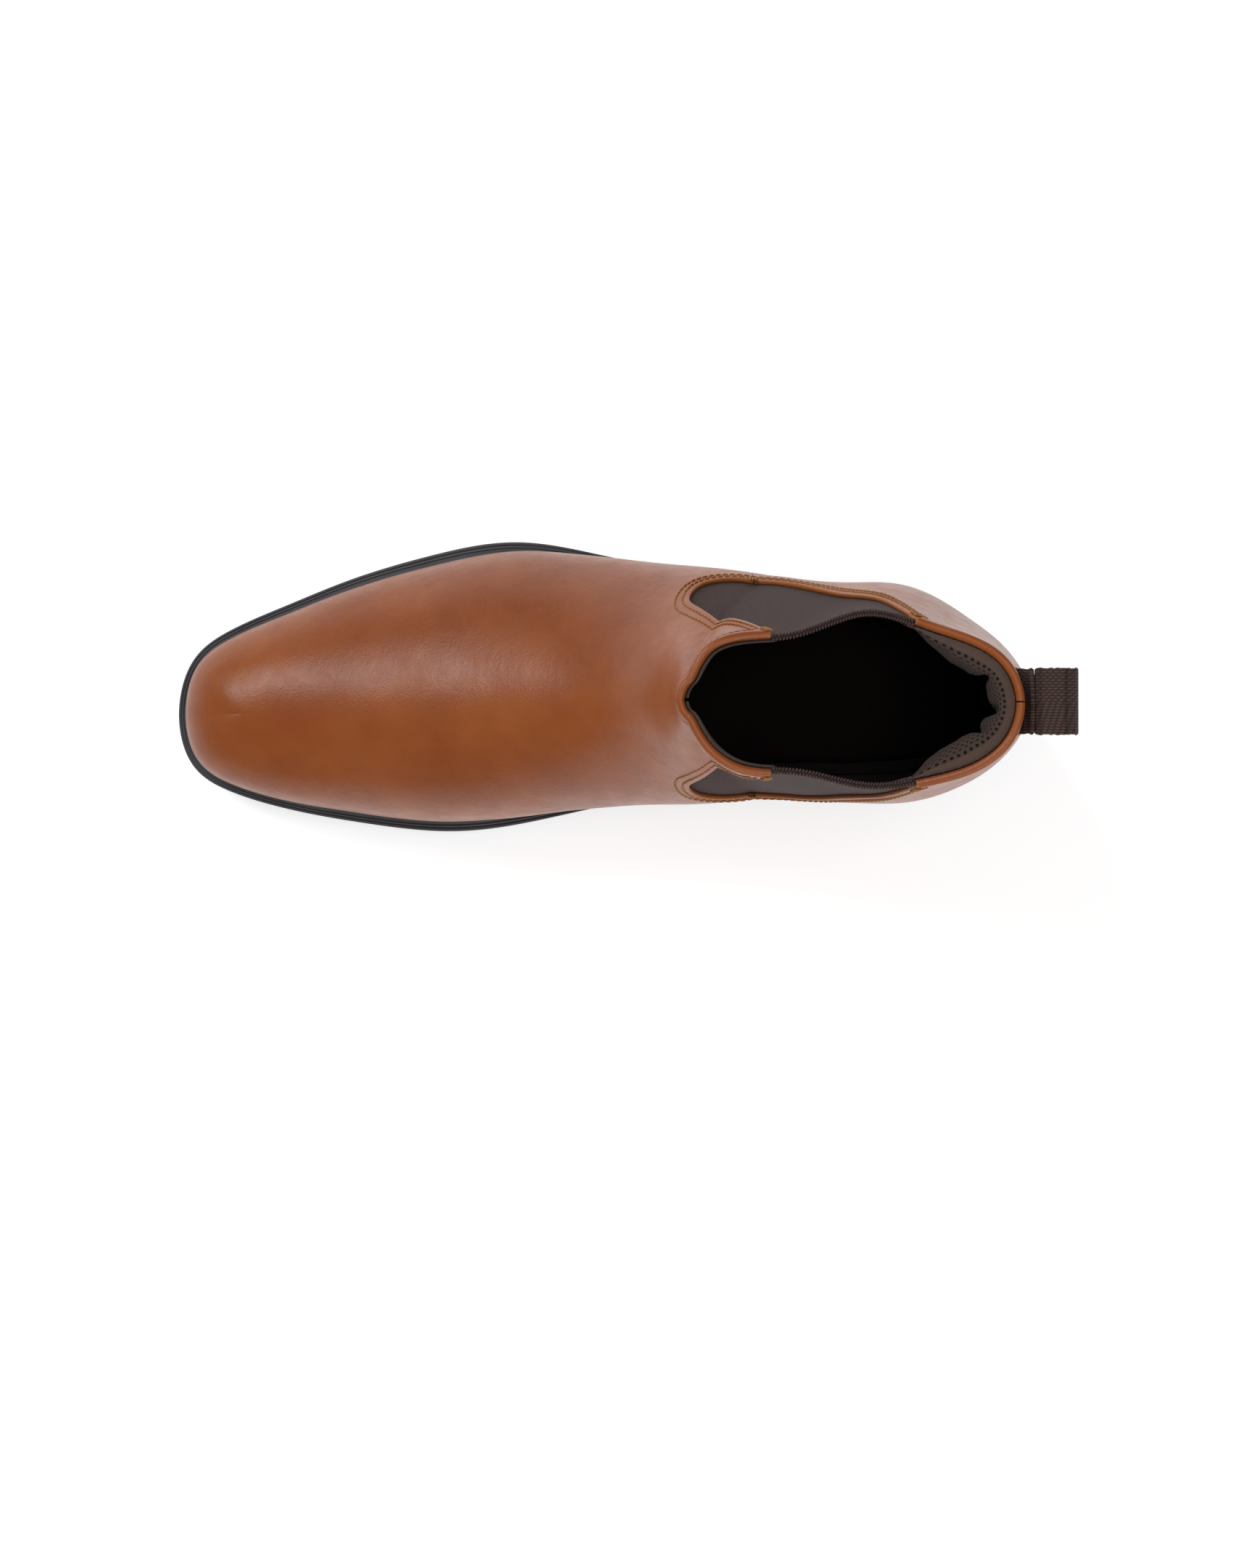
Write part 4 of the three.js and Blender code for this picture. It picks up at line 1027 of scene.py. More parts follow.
def puffed(q):
    """How far the foam swells the lining inwards."""
    p = skin(*q.T)
    turn = np.degrees(np.arctan2(p[:, 1] - PAD_CENTRE[1], p[:, 0] - PAD_CENTRE[0]))
    drop = collar_field(q)
    swell = np.interp(turn, PAD_KNOTS[:, 0], PAD_KNOTS[:, 1])
    for tuck in PAD_TUCKS:
        swell = swell - 2.5 * np.exp(-((turn - tuck + 0.10 * drop) / 5.0) ** 2) * smooth((drop - 2) / 9)
    crown = np.sqrt(np.clip(1 - (1 - np.clip(drop / 17, 0, 1)) ** 2, 0, 1))
    low = 1 - smooth((drop - 34) / 26)
    round_back = smooth((p[:, 0] - 90) / 14)
    uneven = 0.35 * lumps(8, p, 16) * smooth(drop / 10)
    return np.maximum(0, (swell + uneven) * crown * low * round_back)


def spacer_mesh(name, holes):
    """Knitted spacer mesh: vertical ribs of fine loops, with rows of small oval holes."""
    material, tree, bsdf = shader(name)
    pattern = node(tree, "UVMap", uv_map="pattern")
    along = node(tree, "SeparateXYZ", 0, Vector=pattern)
    down = node(tree, "SeparateXYZ", 1, Vector=pattern)
    row = maths(tree, "DIVIDE", down, 1.8)
    odd = maths(tree, "MODULO", maths(tree, "FLOOR", row), 2.0)
    across = maths(tree, "ADD", maths(tree, "DIVIDE", along, 3.0), maths(tree, "MULTIPLY", odd, 0.5))
    u = maths(tree, "SUBTRACT", maths(tree, "FRACT", across), 0.5)
    v = maths(tree, "SUBTRACT", maths(tree, "FRACT", row), 0.5)
    u = maths(tree, "MULTIPLY", u, 3.2)
    v = maths(tree, "MULTIPLY", v, 3.9)
    ring_size = maths(tree, "ADD", maths(tree, "MULTIPLY", u, u), maths(tree, "MULTIPLY", v, v))
    hole = node(tree, "MapRange", Value=ring_size, From_Min=0.35, From_Max=1.0, To_Min=holes, To_Max=0.0)
    loops = maths(tree, "SINE", maths(tree, "MULTIPLY", along, 9.5))
    courses = maths(tree, "SINE", maths(tree, "MULTIPLY", down, 12.5))
    knit = maths(tree, "MULTIPLY_ADD", loops, 0.28, maths(tree, "MULTIPLY_ADD", courses, 0.22, 0.5))
    place = node(tree, "TexCoord", 3)
    fuzz = node(tree, "TexNoise", Vector=place, Scale=1300.0, Detail=3.0)
    patchy = node(tree, "TexNoise", Vector=place, Scale=60.0, Detail=3.0)
    colour = blend(tree, knit, (0.030, 0.019, 0.015), (0.118, 0.075, 0.060))
    colour = blend(tree, maths(tree, "MULTIPLY", fuzz, 0.4), colour, (0.135, 0.090, 0.073))
    colour = blend(tree, maths(tree, "MULTIPLY", patchy, 0.35), colour, (0.045, 0.029, 0.023))
    colour = blend(tree, hole, colour, (0.010, 0.007, 0.006))
    join(tree, colour, bsdf.inputs["Base Color"])
    relief = bump(tree, knit, 0.00022, 0.8)
    relief = bump(tree, maths(tree, "SUBTRACT", 1.0, hole), 0.0005, 0.9, relief)
    join(tree, bump(tree, fuzz, 0.00012, 0.5, relief), bsdf.inputs["Normal"])
    bsdf.inputs["Roughness"].default_value = 0.95
    bsdf.inputs["Specular IOR Level"].default_value = 0.08
    bsdf.inputs["Sheen Weight"].default_value = 0.06
    bsdf.inputs["Sheen Roughness"].default_value = 0.5
    return material


def around_collar(a):
    """How far along the collar a station is, in millimetres."""
    steps = np.linspace(-1.0, 1.5, 1500)
    p = skin(steps, np.full(len(steps), 0.93))
    run = lengths_along(p)
    return np.interp(a, steps, run)


def down_the_pad(drop):
    """Lengths down the swollen face: each step down adds the hypotenuse of it and the swell it brings."""
    steps = np.linspace(0, 90, 1800)
    crown = np.sqrt(np.clip(1 - (1 - np.clip(steps / 17, 0, 1)) ** 2, 0, 1))
    swell = PAD_KNOTS[:, 1].mean() * crown * (1 - smooth((steps - 34) / 26))
    run = np.concatenate([[0], np.cumsum(np.hypot(np.diff(steps), np.diff(swell)))])
    return np.interp(drop, steps, run)


def lining_piece(name, net, inner_depth, ridge):
    for level in (1.7, 2.2, 3.0, 4.0):
        net = split(net, collar_field, level)
    if ridge:
        net = weld_ridge(net)
    turned = lambda q: 1.0 * round_edge(collar_field(q) - 1.2, 1.4)
    piece = sheet_solid(
        name, net, lambda q: np.full(len(q), UNDER_STIFFENER - 0.2) + 0.2 * turned(q),
        lambda q: inner_depth(q) - 0.45 * turned(q),
    )
    q = net[0]
    down = collar_field(q) if ridge else down_the_pad(collar_field(q))
    set_uv(piece, stack(around_collar(q[:, 0]), down))
    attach(piece, "boot")
    return piece


net = net_over(vamp_stations[::2], heights[::2])
net = split(net, collar_field, 1.2, keep_above=True)
net = split(net, lambda q: gore_field(q) + 2.0, 0, keep_above=True)
net = split(net, seam_field, 0.2, keep_above=True)
front_lining = lining_piece("front_lining", net, lambda q: np.full(len(q), UNDER_STIFFENER + LINING), True)
front_lining.data.materials.append(spacer_mesh("front_mesh", 0.25))
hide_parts("vamp_lining")

net = net_over(np.linspace(0.56, 1.44, int(420 * FINE)), np.linspace(0, 1, int(150 * FINE)))
net = split(net, collar_field, 1.2, keep_above=True)
net = split(net, lambda q: gore_field(q) + 2.0, 0, keep_above=True)
net = split(net, lambda q: -seam_field(q), 0.2, keep_above=True)
padded_collar = lining_piece(
    "padded_collar_lining", net, lambda q: UNDER_STIFFENER + LINING + puffed(q), False)
padded_collar.data.materials.append(spacer_mesh("collar_mesh", 1.0))
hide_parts("quarter_lining", "collar_padding")

# Woven tape lies inside the collar's fold, so that it doesn't stretch.
TAPE_DEPTH = 9.0
TAPE_OUTER = 3.03  # the tape's two faces, as depths under the skin
TAPE_INNER = 3.17
tape_cloth, tape_tree, tape_bsdf = shader("woven_tape")
tape_place = node(tape_tree, "TexCoord", 3)
tape_weave = node(tape_tree, "TexNoise", Vector=tape_place, Scale=1100.0, Detail=3.0)
tape_colour = blend(tape_tree, tape_weave, (0.05, 0.035, 0.028), (0.12, 0.085, 0.07))
join(tape_tree, tape_colour, tape_bsdf.inputs["Base Color"])
join(tape_tree, bump(tape_tree, tape_weave, 0.0002, 0.6), tape_bsdf.inputs["Normal"])
tape_bsdf.inputs["Roughness"].default_value = 0.9
back_stations = np.linspace(0.56, 1.44, int(300 * FINE))
for word, stations, side in (("front", vamp_stations[::2], 1), ("back", back_stations, -1)):
    net = net_over(stations, heights[::2])
    net = split(net, collar_field, 2.4, keep_above=True)
    net = split(net, lambda q: TAPE_DEPTH - collar_field(q), 0, keep_above=True)
    net = split(net, lambda q: gore_field(q) - GORE_LAP - 1.0, 0, keep_above=True)
    net = split(net, lambda q: side * seam_field(q), 1.0, keep_above=True)
    if word == "front":
        net = weld_ridge(net)
    strip = sheet_solid(
        f"collar_tape_{word}_cloth", net,
        lambda q: np.full(len(q), TAPE_OUTER), lambda q: np.full(len(q), TAPE_INNER),
    )
    strip.data.materials.append(tape_cloth)
    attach(strip, "boot")
    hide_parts(f"collar_tape_{word}")

# ---------------------------------------------------------------- the rubber sole
# A moulded rubber unit: a welt with a fine ribbed rim and a lip against the leather, a midsole, an
# outsole with chevron grooves under the forepart, and a heel of two layers.
RIM_BALL = 4.2
RIM_WAIST = 0.6
RIM_HEEL = 1.2
WELT_INSIDE = 13.0
WELT_UNDER = -GAP - WELT
MIDSOLE_TOP = WELT_UNDER - GAP
OUTSOLE_TOP = MIDSOLE_TOP - MIDSOLE - GAP
OUTSOLE_UNDER = OUTSOLE_TOP - OUTSOLE
TOP_PIECE = 6.0
HEEL_BREAST = 60.0
GROOVES = 7
GROOVE_PITCH = 13.0
GROOVE_WIDTH = 2.4
GROOVE_DEPTH = 1.6
rim_width = cubic(
    [0, 0.12, 0.3, 0.46, 0.62, 0.75, 0.88, 1],
    [RIM_TOE, RIM_TOE, RIM_BALL, RIM_BALL, RIM_WAIST + 0.6, RIM_WAIST, RIM_HEEL, RIM_HEEL],
)


def plan_outline(stations):
    """The feather line, its outward direction and the rim's width there, in plan."""
    return feather(stations)[:, :2], outward(stations)[:, :2], rim_width(station_of(stations))


def middle_line(x):
    """A line down the middle of the foot, drawn in from both ends, that the slabs shrink to."""
    x = np.clip(x, -112, 104)
    outer = np.interp(x, FEATHER_OUTER[:, 1], FEATHER_OUTER[:, 2])
    inner = np.interp(x, FEATHER_INNER[:, 1], FEATHER_INNER[:, 2])
    return stack(x, (outer + inner) / 2)


def welded(points, faces):
    """Merges points that coincide and drops the triangles that this flattens."""
    _, first, index = np.unique(np.round(points, 4), axis=0, return_index=True, return_inverse=True)
    faces = index.ravel()[faces]
    proper = (faces[:, 0] != faces[:, 1]) & (faces[:, 1] != faces[:, 2]) & (faces[:, 2] != faces[:, 0])
    return points[first], faces[proper]


def ringed(name, outline, rows, relief=None, around=False):
    """A solid from rings round the sole. A row is (share of the way out from the middle line, how far
    past the feather line, share of the rim's width, height over the feather line or a function)."""
    edge, out, rim = outline
    rings = []
    for share, past, of_rim, height in rows:
        flat = edge + out * (past + of_rim * rim)[:, None] if np.ndim(past + of_rim * rim) else edge
        flat = middle_line(flat[:, 0]) * (1 - share) + flat * share
        z = height(flat[:, 0]) if callable(height) else FEATHER_Z(flat[:, 0]) + height
        if relief is not None:
            z = z + relief(flat, z)
        rings.append(np.column_stack([flat, z]))
    quads = grid_faces(len(rings), len(edge), close_columns=True, close_rows=around)
    points, faces = welded(np.concatenate(rings), np.concatenate([quads[:, [0, 1, 2]], quads[:, [0, 2, 3]]]))
    corner = points[faces]
    if np.einsum("ij,ij->i", corner[:, 0], np.cross(corner[:, 1], corner[:, 2])).sum() < 0:
        faces = faces[:, ::-1]
    piece = add_object(name, metres(points), [faces])
    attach(piece, "boot")
    return piece


def rubber(name, light, dark, roughness):
    """Charcoal rubber: satin, faintly mottled, with a fine moulded grain and darker specks."""
    material, tree, bsdf = shader(name)
    place = node(tree, "TexCoord", 3)
    cloud = node(tree, "TexNoise", Vector=place, Scale=70.0, Detail=4.0)
    speck = node(tree, "TexNoise", Vector=place, Scale=900.0, Detail=3.0)
    colour = blend(tree, cloud, dark, light)
    colour = blend(tree, maths(tree, "MULTIPLY", speck, 0.3), colour, dark)
    join(tree, colour, bsdf.inputs["Base Color"])
    join(tree, bump(tree, speck, 0.00012, 0.5), bsdf.inputs["Normal"])
    gloss = node(tree, "MapRange", Value=cloud, From_Min=0.3, From_Max=0.7, To_Min=roughness - 0.05,
                 To_Max=roughness + 0.08)
    join(tree, gloss, bsdf.inputs["Roughness"])
    bsdf.inputs["Specular IOR Level"].default_value = 0.35
    return material


charcoal = rubber("charcoal_rubber", (0.060, 0.060, 0.064), (0.030, 0.030, 0.033), 0.42)
rim_grey = rubber("rim_rubber", (0.090, 0.092, 0.100), (0.048, 0.049, 0.054), 0.40)
around_sole = np.linspace(-1, 1, int(760 * FINE), endpoint=False)
whole_outline = plan_outline(around_sole)


def edge_rows(top, under, ribs):
    """The rim's side between two heights: rounded corners and fine ribs along it."""
    rows = [(1, 0.0, 0.90, top), (1, 0.0, 0.97, top - 0.08), (1, 0.0, 1.0, top - 0.3)]
    middle = np.linspace(top - 0.3, under + 0.3, 4 * ribs + 1)[1:-1]
    dent = [0.0, -0.18, -0.30, -0.18]
    rows += [(1, dent[(i + 1) % 4], 1.0, z) for i, z in enumerate(middle)]
    return rows + [(1, 0.0, 1.0, under + 0.3), (1, 0.0, 0.97, under + 0.08), (1, 0.0, 0.90, under)]


# From above the welt shows a lip against the leather, then a flat with two fine grooves.
welt_rows = [
    (1, -WELT_INSIDE, 0, WELT_UNDER), (1, -WELT_INSIDE, 0, -GAP),
    (1, -0.6, 0, -GAP), (1, 0.1, 0, -GAP),
]
for share, height in ((0.08, 0.25), (0.13, 0.42), (0.2, 0.42), (0.25, 0.25), (0.29, -0.3), (0.40, -0.3),
                      (0.43, -0.62), (0.48, -0.62), (0.51, -0.3), (0.64, -0.3), (0.67, -0.62), (0.72, -0.62),
                      (0.75, -0.3)):
    welt_rows.append((1, 0.0, share, height))
welt = ringed("welt_rubber", whole_outline, welt_rows + edge_rows(-GAP, WELT_UNDER, 1), around=True)
welt.data.materials.append(rim_grey)
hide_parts("welt")

inner_shares = np.linspace(0, 1, 8)[:-1]
midsole = ringed(
    "midsole_rubber", whole_outline,
    [(s, 0.0, 0.9, MIDSOLE_TOP) for s in inner_shares] + edge_rows(MIDSOLE_TOP, MIDSOLE_TOP - MIDSOLE, 1)
    + [(s, 0.0, 0.9, MIDSOLE_TOP - MIDSOLE) for s in inner_shares[::-1]],
)
midsole.data.materials.append(rim_grey)
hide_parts("midsole")


def tread(flat, z):
    """Seven chevron grooves across the forepart, cut up into the outsole's underside."""
    x, y = flat.T
    bent = x + 6 * (1 - np.abs(np.where(y > 0, y / 32, y / 34)).clip(0, 1))
    nearest = np.clip(np.round((bent + 112 - GROOVE_WIDTH / 2) / GROOVE_PITCH), 0, GROOVES - 1)
    off = np.abs(bent + 112 - GROOVE_WIDTH / 2 - nearest * GROOVE_PITCH)
    groove = smooth((GROOVE_WIDTH / 2 + 0.35 - off) / 0.7) * smooth((32 - y) / 1.2) * smooth((34 + y) / 1.2)
    underside = np.abs(z - FEATHER_Z(x) - OUTSOLE_UNDER) < 0.02
    grain = 0.10 * np.sin(x * 2.9) * np.sin(y * 2.9) * (groove < 0.01)
    return np.where(underside, GROOVE_DEPTH * groove + np.maximum(0, grain), 0)


outsole = ringed(
    "outsole_rubber", whole_outline,
    [(s, 0.0, 0.9, OUTSOLE_TOP) for s in inner_shares] + edge_rows(OUTSOLE_TOP, OUTSOLE_UNDER, 2)
    + [(s, 0.0, 0.9, OUTSOLE_UNDER) for s in np.linspace(1, 0, int(75 * FINE))[1:]],
    relief=tread,
)
outsole.data.materials.append(charcoal)
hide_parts("outsole")

# The heel ends in front in a shallow hollow, the breast, and is walked on by a top piece of harder rubber.
back_stations = np.linspace(0.5, 1.5, 900)
heel_edge, heel_out, heel_rim = plan_outline(back_stations)
at_rim = heel_edge[:, 0] + heel_out[:, 0] * heel_rim
stays = at_rim > HEEL_BREAST
heel_edge, heel_out, heel_rim = heel_edge[stays], heel_out[stays], heel_rim[stays]
side_y = np.array([heel_edge[-1, 1], heel_edge[0, 1]])
across = np.linspace(side_y[0], side_y[1], 62)[1:-1]
breast = stack(HEEL_BREAST + 5 * (1 - np.abs(2 * (across - side_y[0]) / (side_y[1] - side_y[0]) - 1)), across)
heel_outline = (
    np.concatenate([heel_edge, breast]),
    np.concatenate([heel_out, np.broadcast_to([-1.0, 0.0], breast.shape)]),
    np.concatenate([heel_rim, np.zeros(len(breast))]),
)
HEEL_PULL = 0.4  # how far the heel's sides stand in from the sole's


def heel_layer(name, over, under, pull, ribs, replaced):
    """One layer of the heel between two heights, which may follow the sole or lie level."""
    def between(w):
        return lambda x: over(x) * (1 - w) + under(x) * w

    shares = [0, 0.3, 0.6, 0.9, 0.985]
    rows = [(s, -pull, 1, between(0)) for s in shares] + [(1, -pull - 0.3, 1, between(0))]
    dents = np.linspace(0.04, 0.96, 6 * ribs + 1)
    rows += [(1, -pull - 0.12 * (i % 6 in (2, 3)), 1, between(w)) for i, w in enumerate(dents)]
    rows += [(1, -pull - 0.3, 1, between(1))] + [(s, -pull, 1, between(1)) for s in shares[::-1]]
    layer = ringed(name, heel_outline, rows)
    layer.data.materials.append(charcoal)
    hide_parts(replaced)


heel_layer("heel_block_rubber", lambda x: FEATHER_Z(x) + OUTSOLE_UNDER - 0.1,
           lambda x: np.full(len(x), TOP_PIECE + 0.2), HEEL_PULL, 3, "heel_block")
heel_layer("heel_top_rubber", lambda x: np.full(len(x), TOP_PIECE), lambda x: np.zeros(len(x)), 0.8, 1,
           "heel_top_piece")

# ---------------------------------------------------------------- the footbed seen from above
# A dark leather sock lies over the foam footbed, dished under the heel and pressed smooth by the foot.
# Its near-black colour is partly the leather's own and partly painted shade for the unlit inside of the
# shaft.
FLOOR_OVER_FEATHER = UNDER_STIFFENER + LINING + GAP
SOCK_OVER = FLOOR_OVER_FEATHER + 2.0 + GAP
SOCK_INSET = 6.2
bed_top = cubic([-160, -60, 0, 60, 150], [3, 3, 4, 5, 5])


def sock_height(x):
    return FEATHER_Z(x) + SOCK_OVER + bed_top(x) + 0.35


sock_leather, sock_tree, sock_bsdf = shader("sock_leather")
sock_place = node(sock_tree, "TexCoord", 3)
sock_cloud = node(sock_tree, "TexNoise", Vector=sock_place, Scale=50.0, Detail=4.0)
sock_grain = node(sock_tree, "TexVoronoi", Vector=sock_place, Scale=900.0)
# Painted shade: the two near-black colours stand partly for the unlit inside of the shaft.
join(sock_tree, blend(sock_tree, sock_cloud, (0.006, 0.004, 0.003), (0.014, 0.009, 0.007)),
     sock_bsdf.inputs["Base Color"])
join(sock_tree, bump(sock_tree, sock_grain, 0.0002, 0.5), sock_bsdf.inputs["Normal"])
sock_bsdf.inputs["Roughness"].default_value = 0.8
sock_bsdf.inputs["Specular IOR Level"].default_value = 0.1
sock_shares = np.linspace(0, 1, 10)
sock = ringed(
    "sock_sheet", (whole_outline[0], whole_outline[1], np.zeros(len(around_sole))),
    [(s, -SOCK_INSET, 0, lambda x: sock_height(x) + 1.0) for s in sock_shares]
    + [(s, -SOCK_INSET, 0, sock_height) for s in sock_shares[::-1]],
)
sock.data.materials.append(sock_leather)
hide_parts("sock")

# ---------------------------------------------------------------- the pull tab
# A loop of dark herringbone webbing, sewn down on the back seam under the collar. The loop swings on
# its own stitching, so it is its own body; the sewn-down ends stay with the boot.
TAB_WIDTH = 22.3
WEBBING = 1.5
tab_low, tab_high = [np.array(corner) * 1000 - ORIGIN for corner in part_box("pull_tab")]
tab_middle = (tab_low + tab_high) / 2
root_radius = WEBBING + 0.25
end_radius = (tab_high[2] - tab_low[2]) / 2


def herringbone_webbing():
    """Twill webbing whose floats slant to a chevron, with dark gaps between the floats and painted shade
    along its creases.
    """
    material, tree, bsdf = shader("herringbone_webbing")
    pattern = node(tree, "UVMap", uv_map="pattern")
    along = node(tree, "SeparateXYZ", 0, Vector=pattern)
    over = node(tree, "SeparateXYZ", 1, Vector=pattern)
    slanted = maths(tree, "MULTIPLY_ADD", maths(tree, "ABSOLUTE", over), 0.42, along)
    row = maths(tree, "DIVIDE", over, 0.92)
    odd = maths(tree, "MODULO", maths(tree, "FLOOR", maths(tree, "ADD", row, 100.0)), 3.0)
    u = maths(tree, "ADD", maths(tree, "DIVIDE", slanted, 2.1), maths(tree, "DIVIDE", odd, 3.0))
    u = maths(tree, "MULTIPLY", maths(tree, "SUBTRACT", maths(tree, "FRACT", u), 0.5), 2.0)
    v = maths(tree, "MULTIPLY", maths(tree, "SUBTRACT", maths(tree, "FRACT", row), 0.5), 2.0)
    size = maths(tree, "ADD", maths(tree, "POWER", maths(tree, "ABSOLUTE", u), 2.0),
                 maths(tree, "POWER", maths(tree, "ABSOLUTE", v), 2.0))
    floats = node(tree, "MapRange", Value=size, From_Min=0.25, From_Max=1.25, To_Min=1.0, To_Max=0.0)
    place = node(tree, "TexCoord", 3)
    fibre = node(tree, "TexNoise", Vector=place, Scale=1800.0, Detail=3.0)
    worn = node(tree, "TexNoise", Vector=place, Scale=90.0, Detail=3.0)
    colour = blend(tree, floats, (0.014, 0.008, 0.007), (0.092, 0.055, 0.046))
    colour = blend(tree, maths(tree, "MULTIPLY", fibre, 0.35), colour, (0.115, 0.073, 0.062))
    colour = blend(tree, maths(tree, "MULTIPLY", worn, 0.4), colour, (0.045, 0.030, 0.025))
    # Painted shade: the webbing's colour darkens along its creases, where the loop turns.
    crease_and_painted_shade = node(tree, "Attribute", 2, attribute_name="crease_and_painted_shade")
    colour = blend(tree, maths(tree, "MULTIPLY", crease_and_painted_shade, 0.6), colour, (0.020, 0.013, 0.011))
    join(tree, colour, bsdf.inputs["Base Color"])
    relief = bump(tree, floats, 0.0004, 0.9)
    join(tree, bump(tree, fibre, 0.0001, 0.5, relief), bsdf.inputs["Normal"])
    bsdf.inputs["Roughness"].default_value = 0.7
    bsdf.inputs["Specular IOR Level"].default_value = 0.12
    bsdf.inputs["Sheen Weight"].default_value = 0.05
    bsdf.inputs["Sheen Roughness"].default_value = 0.4
    return material


herringbone = herringbone_webbing()


def ribbon(name, path, way_out, closed, crease_and_painted_shade, bow=None):
    """Webbing along a path in side view: a rounded strip, its edges slightly wavy, pressed thinner at its
    creases, which also get painted shade.
    """
    across = np.linspace(-1, 1, int(56 * FINE))
    half = WEBBING / 2
    rounded = half * np.sqrt(np.clip(1 - np.clip((np.abs(across) - 0.93) / 0.07, 0, 1) ** 2, 0.03, 1))
    section_y = np.concatenate([across, across[::-1]])
    section_n = np.concatenate([rounded, -rounded[::-1]])
    run = lengths_along(path)
    wave = 0.2 * np.sin(run * 0.9) + 0.1 * np.sin(run * 2.3 + 1)
    width = TAB_WIDTH / 2 - 0.35 + wave
    y = tab_middle[1] + section_y[None] * width[:, None]
    push = section_n[None] * (1 - 0.35 * crease_and_painted_shade[:, None])
    xz = path[:, None] + way_out[:, None] * push[..., None]
    x = xz[..., 0] if bow is None else xz[..., 0] + bow(y, path[:, 1])
    vertices = stack(x, y, xz[..., 1])
    rows, columns = y.shape
    faces = [grid_faces(rows, columns, close_columns=True, close_rows=closed)]
    if not closed:
        faces += [np.arange(columns)[None, ::-1], np.arange(columns)[None] + (rows - 1) * columns]
    piece = add_object(name, metres(vertices.reshape(-1, 3)), faces)
    layer = piece.data.uv_layers.new(name="pattern")
    corner = np.empty(len(piece.data.loops), np.int32)
    piece.data.loops.foreach_get("vertex_index", corner)
    flat = stack(np.broadcast_to(run[:, None], y.shape), y - tab_middle[1]).reshape(-1, 2)
    layer.data.foreach_set("uv", flat[corner].astype(np.float32).ravel())
    crease_shade_layer = piece.data.attributes.new("crease_and_painted_shade", "FLOAT", "POINT")
    crease_shade_layer.data.foreach_set("value", np.repeat(crease_and_painted_shade, columns).astype(np.float32))
    piece.data.materials.append(herringbone)
    return piece


end_turn = np.radians(np.linspace(-90, 90, 30))
root_turn = np.radians(np.linspace(90, 270, 16))
end_centre = np.array([tab_high[0] - end_radius, tab_middle[2]])
root_centre = np.array([tab_low[0] + root_radius, tab_middle[2]])
end_mid, root_mid = end_radius - WEBBING / 2, root_radius - WEBBING / 2
corners = np.concatenate([
    end_centre + end_mid * stack(np.cos(end_turn), np.sin(end_turn)),
    root_centre + root_mid * stack(np.cos(root_turn), np.sin(root_turn)),
])
closed = np.concatenate([corners, corners[:1]])
run = lengths_along(closed)
even = np.linspace(0, run[-1], int(130 * FINE), endpoint=False)
tab_path = stack(np.interp(even, run, closed[:, 0]), np.interp(even, run, closed[:, 1]))
way = unit(np.roll(tab_path, -1, 0) - np.roll(tab_path, 1, 0))
from_end = tab_high[0] - tab_path[:, 0]
# The loop is pressed thinner and painted darker, as painted shade, at its turn near the end and in a fainter
# band behind it.
tab_crease_and_painted_shade = np.exp(-((from_end - 4.6) / 0.5) ** 2) + 0.8 * np.exp(-((from_end - 12.6) / 0.8) ** 2)
tab = ribbon("pull_tab_loop", tab_path, stack(way[:, 1], -way[:, 0]), True, np.clip(tab_crease_and_painted_shade, 0, 1))
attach(tab, "tab")
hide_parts("pull_tab")

anchor_low, anchor_high = [np.array(corner) * 1000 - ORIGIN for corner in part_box("pull_tab_anchor")]
rise = np.linspace(0, 1, int(50 * FINE))
anchor_path = stack(
    np.full(len(rise), anchor_high[0] - WEBBING / 2),
    anchor_low[2] + 0.4 + (anchor_high[2] - anchor_low[2] - 0.8) * rise,
)


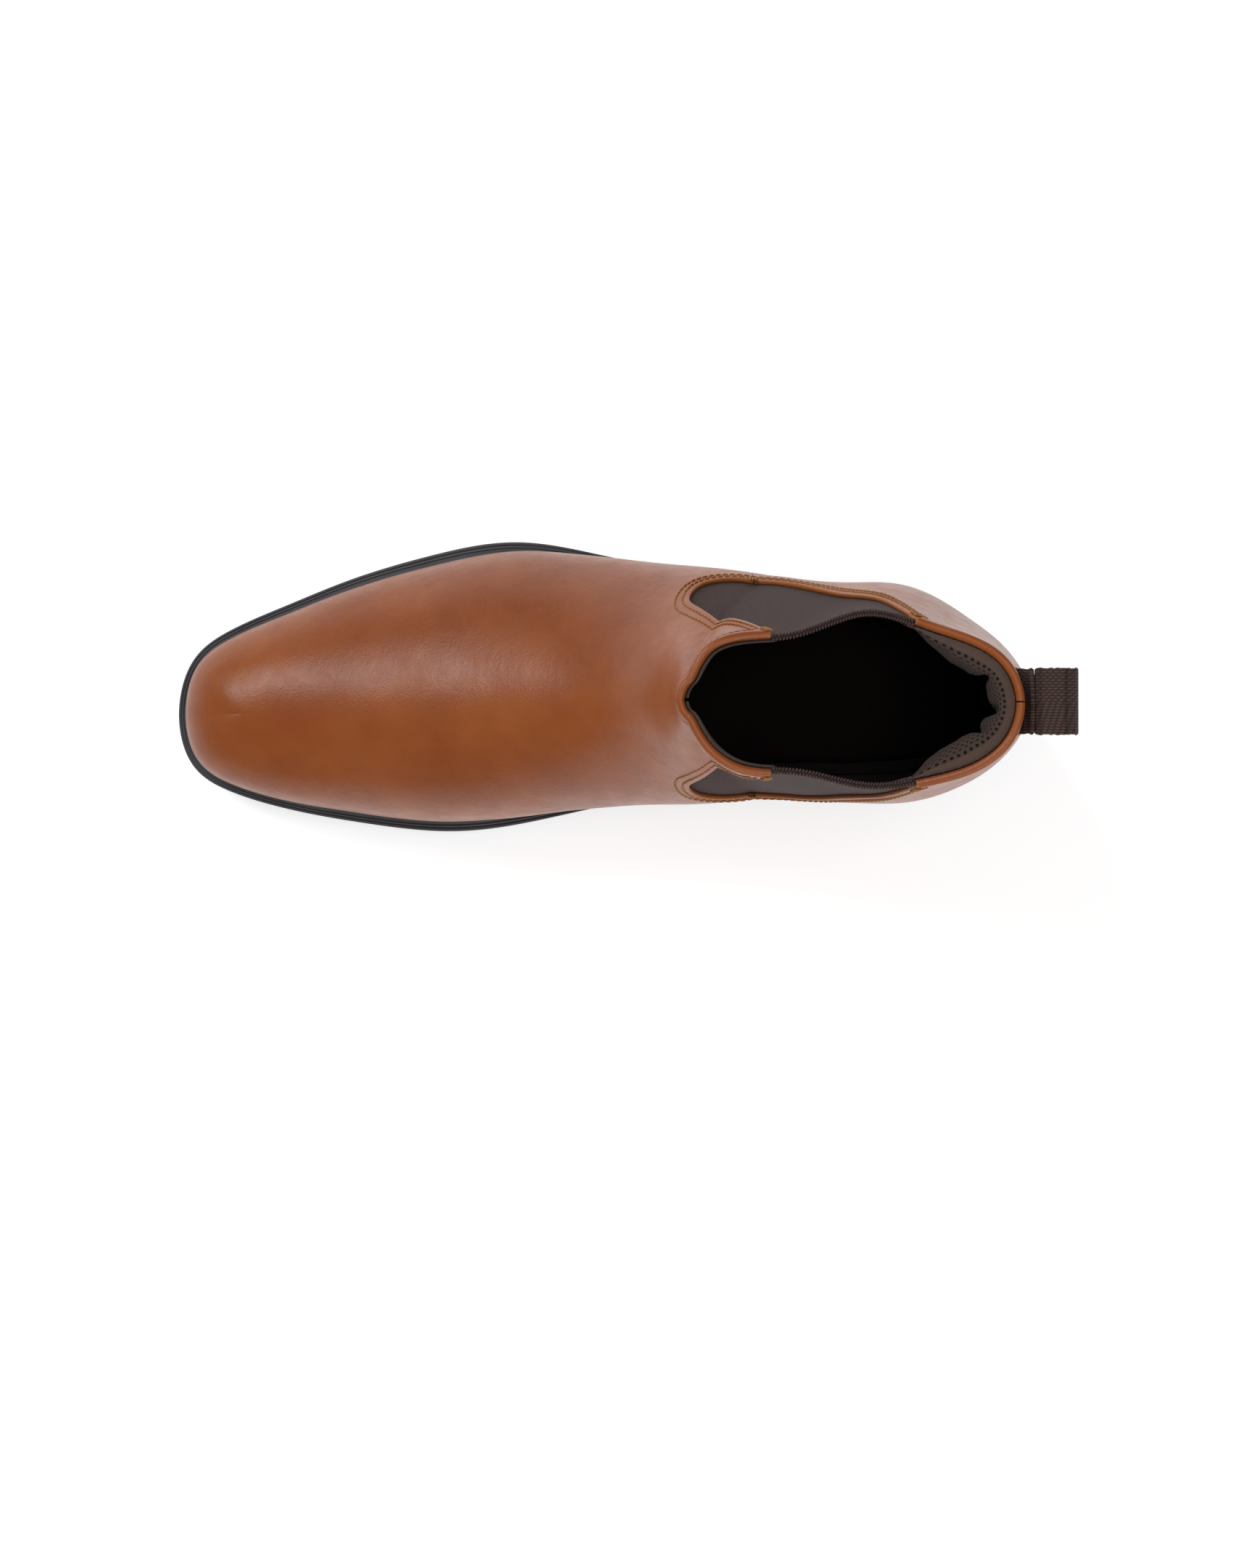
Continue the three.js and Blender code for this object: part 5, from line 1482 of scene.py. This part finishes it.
def round_the_heel(y, z):
    """Lays the sewn-down webbing on the leather, and lets it stand off towards the loop's root."""
    a = np.linspace(0.93, 1.07, 60)
    t = np.interp(z, skin(np.ones(200), np.linspace(0.3, 1, 200))[:, 2], np.linspace(0.3, 1, 200))
    bowed = np.empty(y.shape)
    for i in range(len(z)):
        line = skin(a, np.full(len(a), t[i]))
        order = np.argsort(line[:, 1])
        bowed[i] = np.interp(y[i], line[order, 1], line[order, 0])
    lying = bowed + 0.35 + WEBBING / 2 - (anchor_high[0] - WEBBING / 2)
    return lying * (1 - 0.85 * smooth((rise - 0.55) / 0.45))[:, None]


# The sewn-down webbing gets the same thinning and painted shade at a fold low down.
anchor = ribbon("pull_tab_anchor_webbing", anchor_path, np.broadcast_to([1.0, 0.0], anchor_path.shape), False,
                np.exp(-((rise - 0.15) / 0.04) ** 2), round_the_heel)
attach(anchor, "boot")
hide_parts("pull_tab_anchor")

# ---------------------------------------------------------------- what the upper and the sole hide
# Stiffeners, tapes, boards, foam, cork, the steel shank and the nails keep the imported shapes.


def hidden_material(name, light, dark, scale, roughness, metallic=0.0):
    """A mottled finish for a piece inside the boot."""
    material, tree, bsdf = shader(name)
    place = node(tree, "TexCoord", 3)
    cloud = node(tree, "TexNoise", Vector=place, Scale=scale, Detail=4.0)
    fine = node(tree, "TexNoise", Vector=place, Scale=scale * 9, Detail=3.0)
    join(tree, blend(tree, cloud, dark, light), bsdf.inputs["Base Color"])
    join(tree, bump(tree, fine, 0.0002, 0.5), bsdf.inputs["Normal"])
    gloss = node(tree, "MapRange", Value=fine, From_Min=0.3, From_Max=0.7, To_Min=roughness - 0.08,
                 To_Max=roughness + 0.05)
    join(tree, gloss, bsdf.inputs["Roughness"])
    bsdf.inputs["Metallic"].default_value = metallic
    return material


nails = [f"heel_nail_{i}" for i in range(1, 6)]
HIDDEN = {
    "pressed_board": (
        ("toe_puff", "heel_counter", "insole_board"), (0.50, 0.39, 0.24), (0.36, 0.26, 0.15), 120, 0.85,
    ),
    "footbed_foam": (("footbed",), (0.016, 0.013, 0.011), (0.008, 0.006, 0.005), 250, 0.92),
    "ground_cork": (("filler",), (0.36, 0.23, 0.12), (0.16, 0.09, 0.04), 220, 0.9),
    "spring_steel": (("shank", *nails), (0.60, 0.61, 0.63), (0.42, 0.43, 0.45),
                     90, 0.34, 1.0),
}
for name, (nodes, *look) in HIDDEN.items():
    material = hidden_material(name, *look)
    for hidden in nodes:
        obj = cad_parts[hidden]
        obj.data.materials.clear()
        obj.data.materials.append(material)
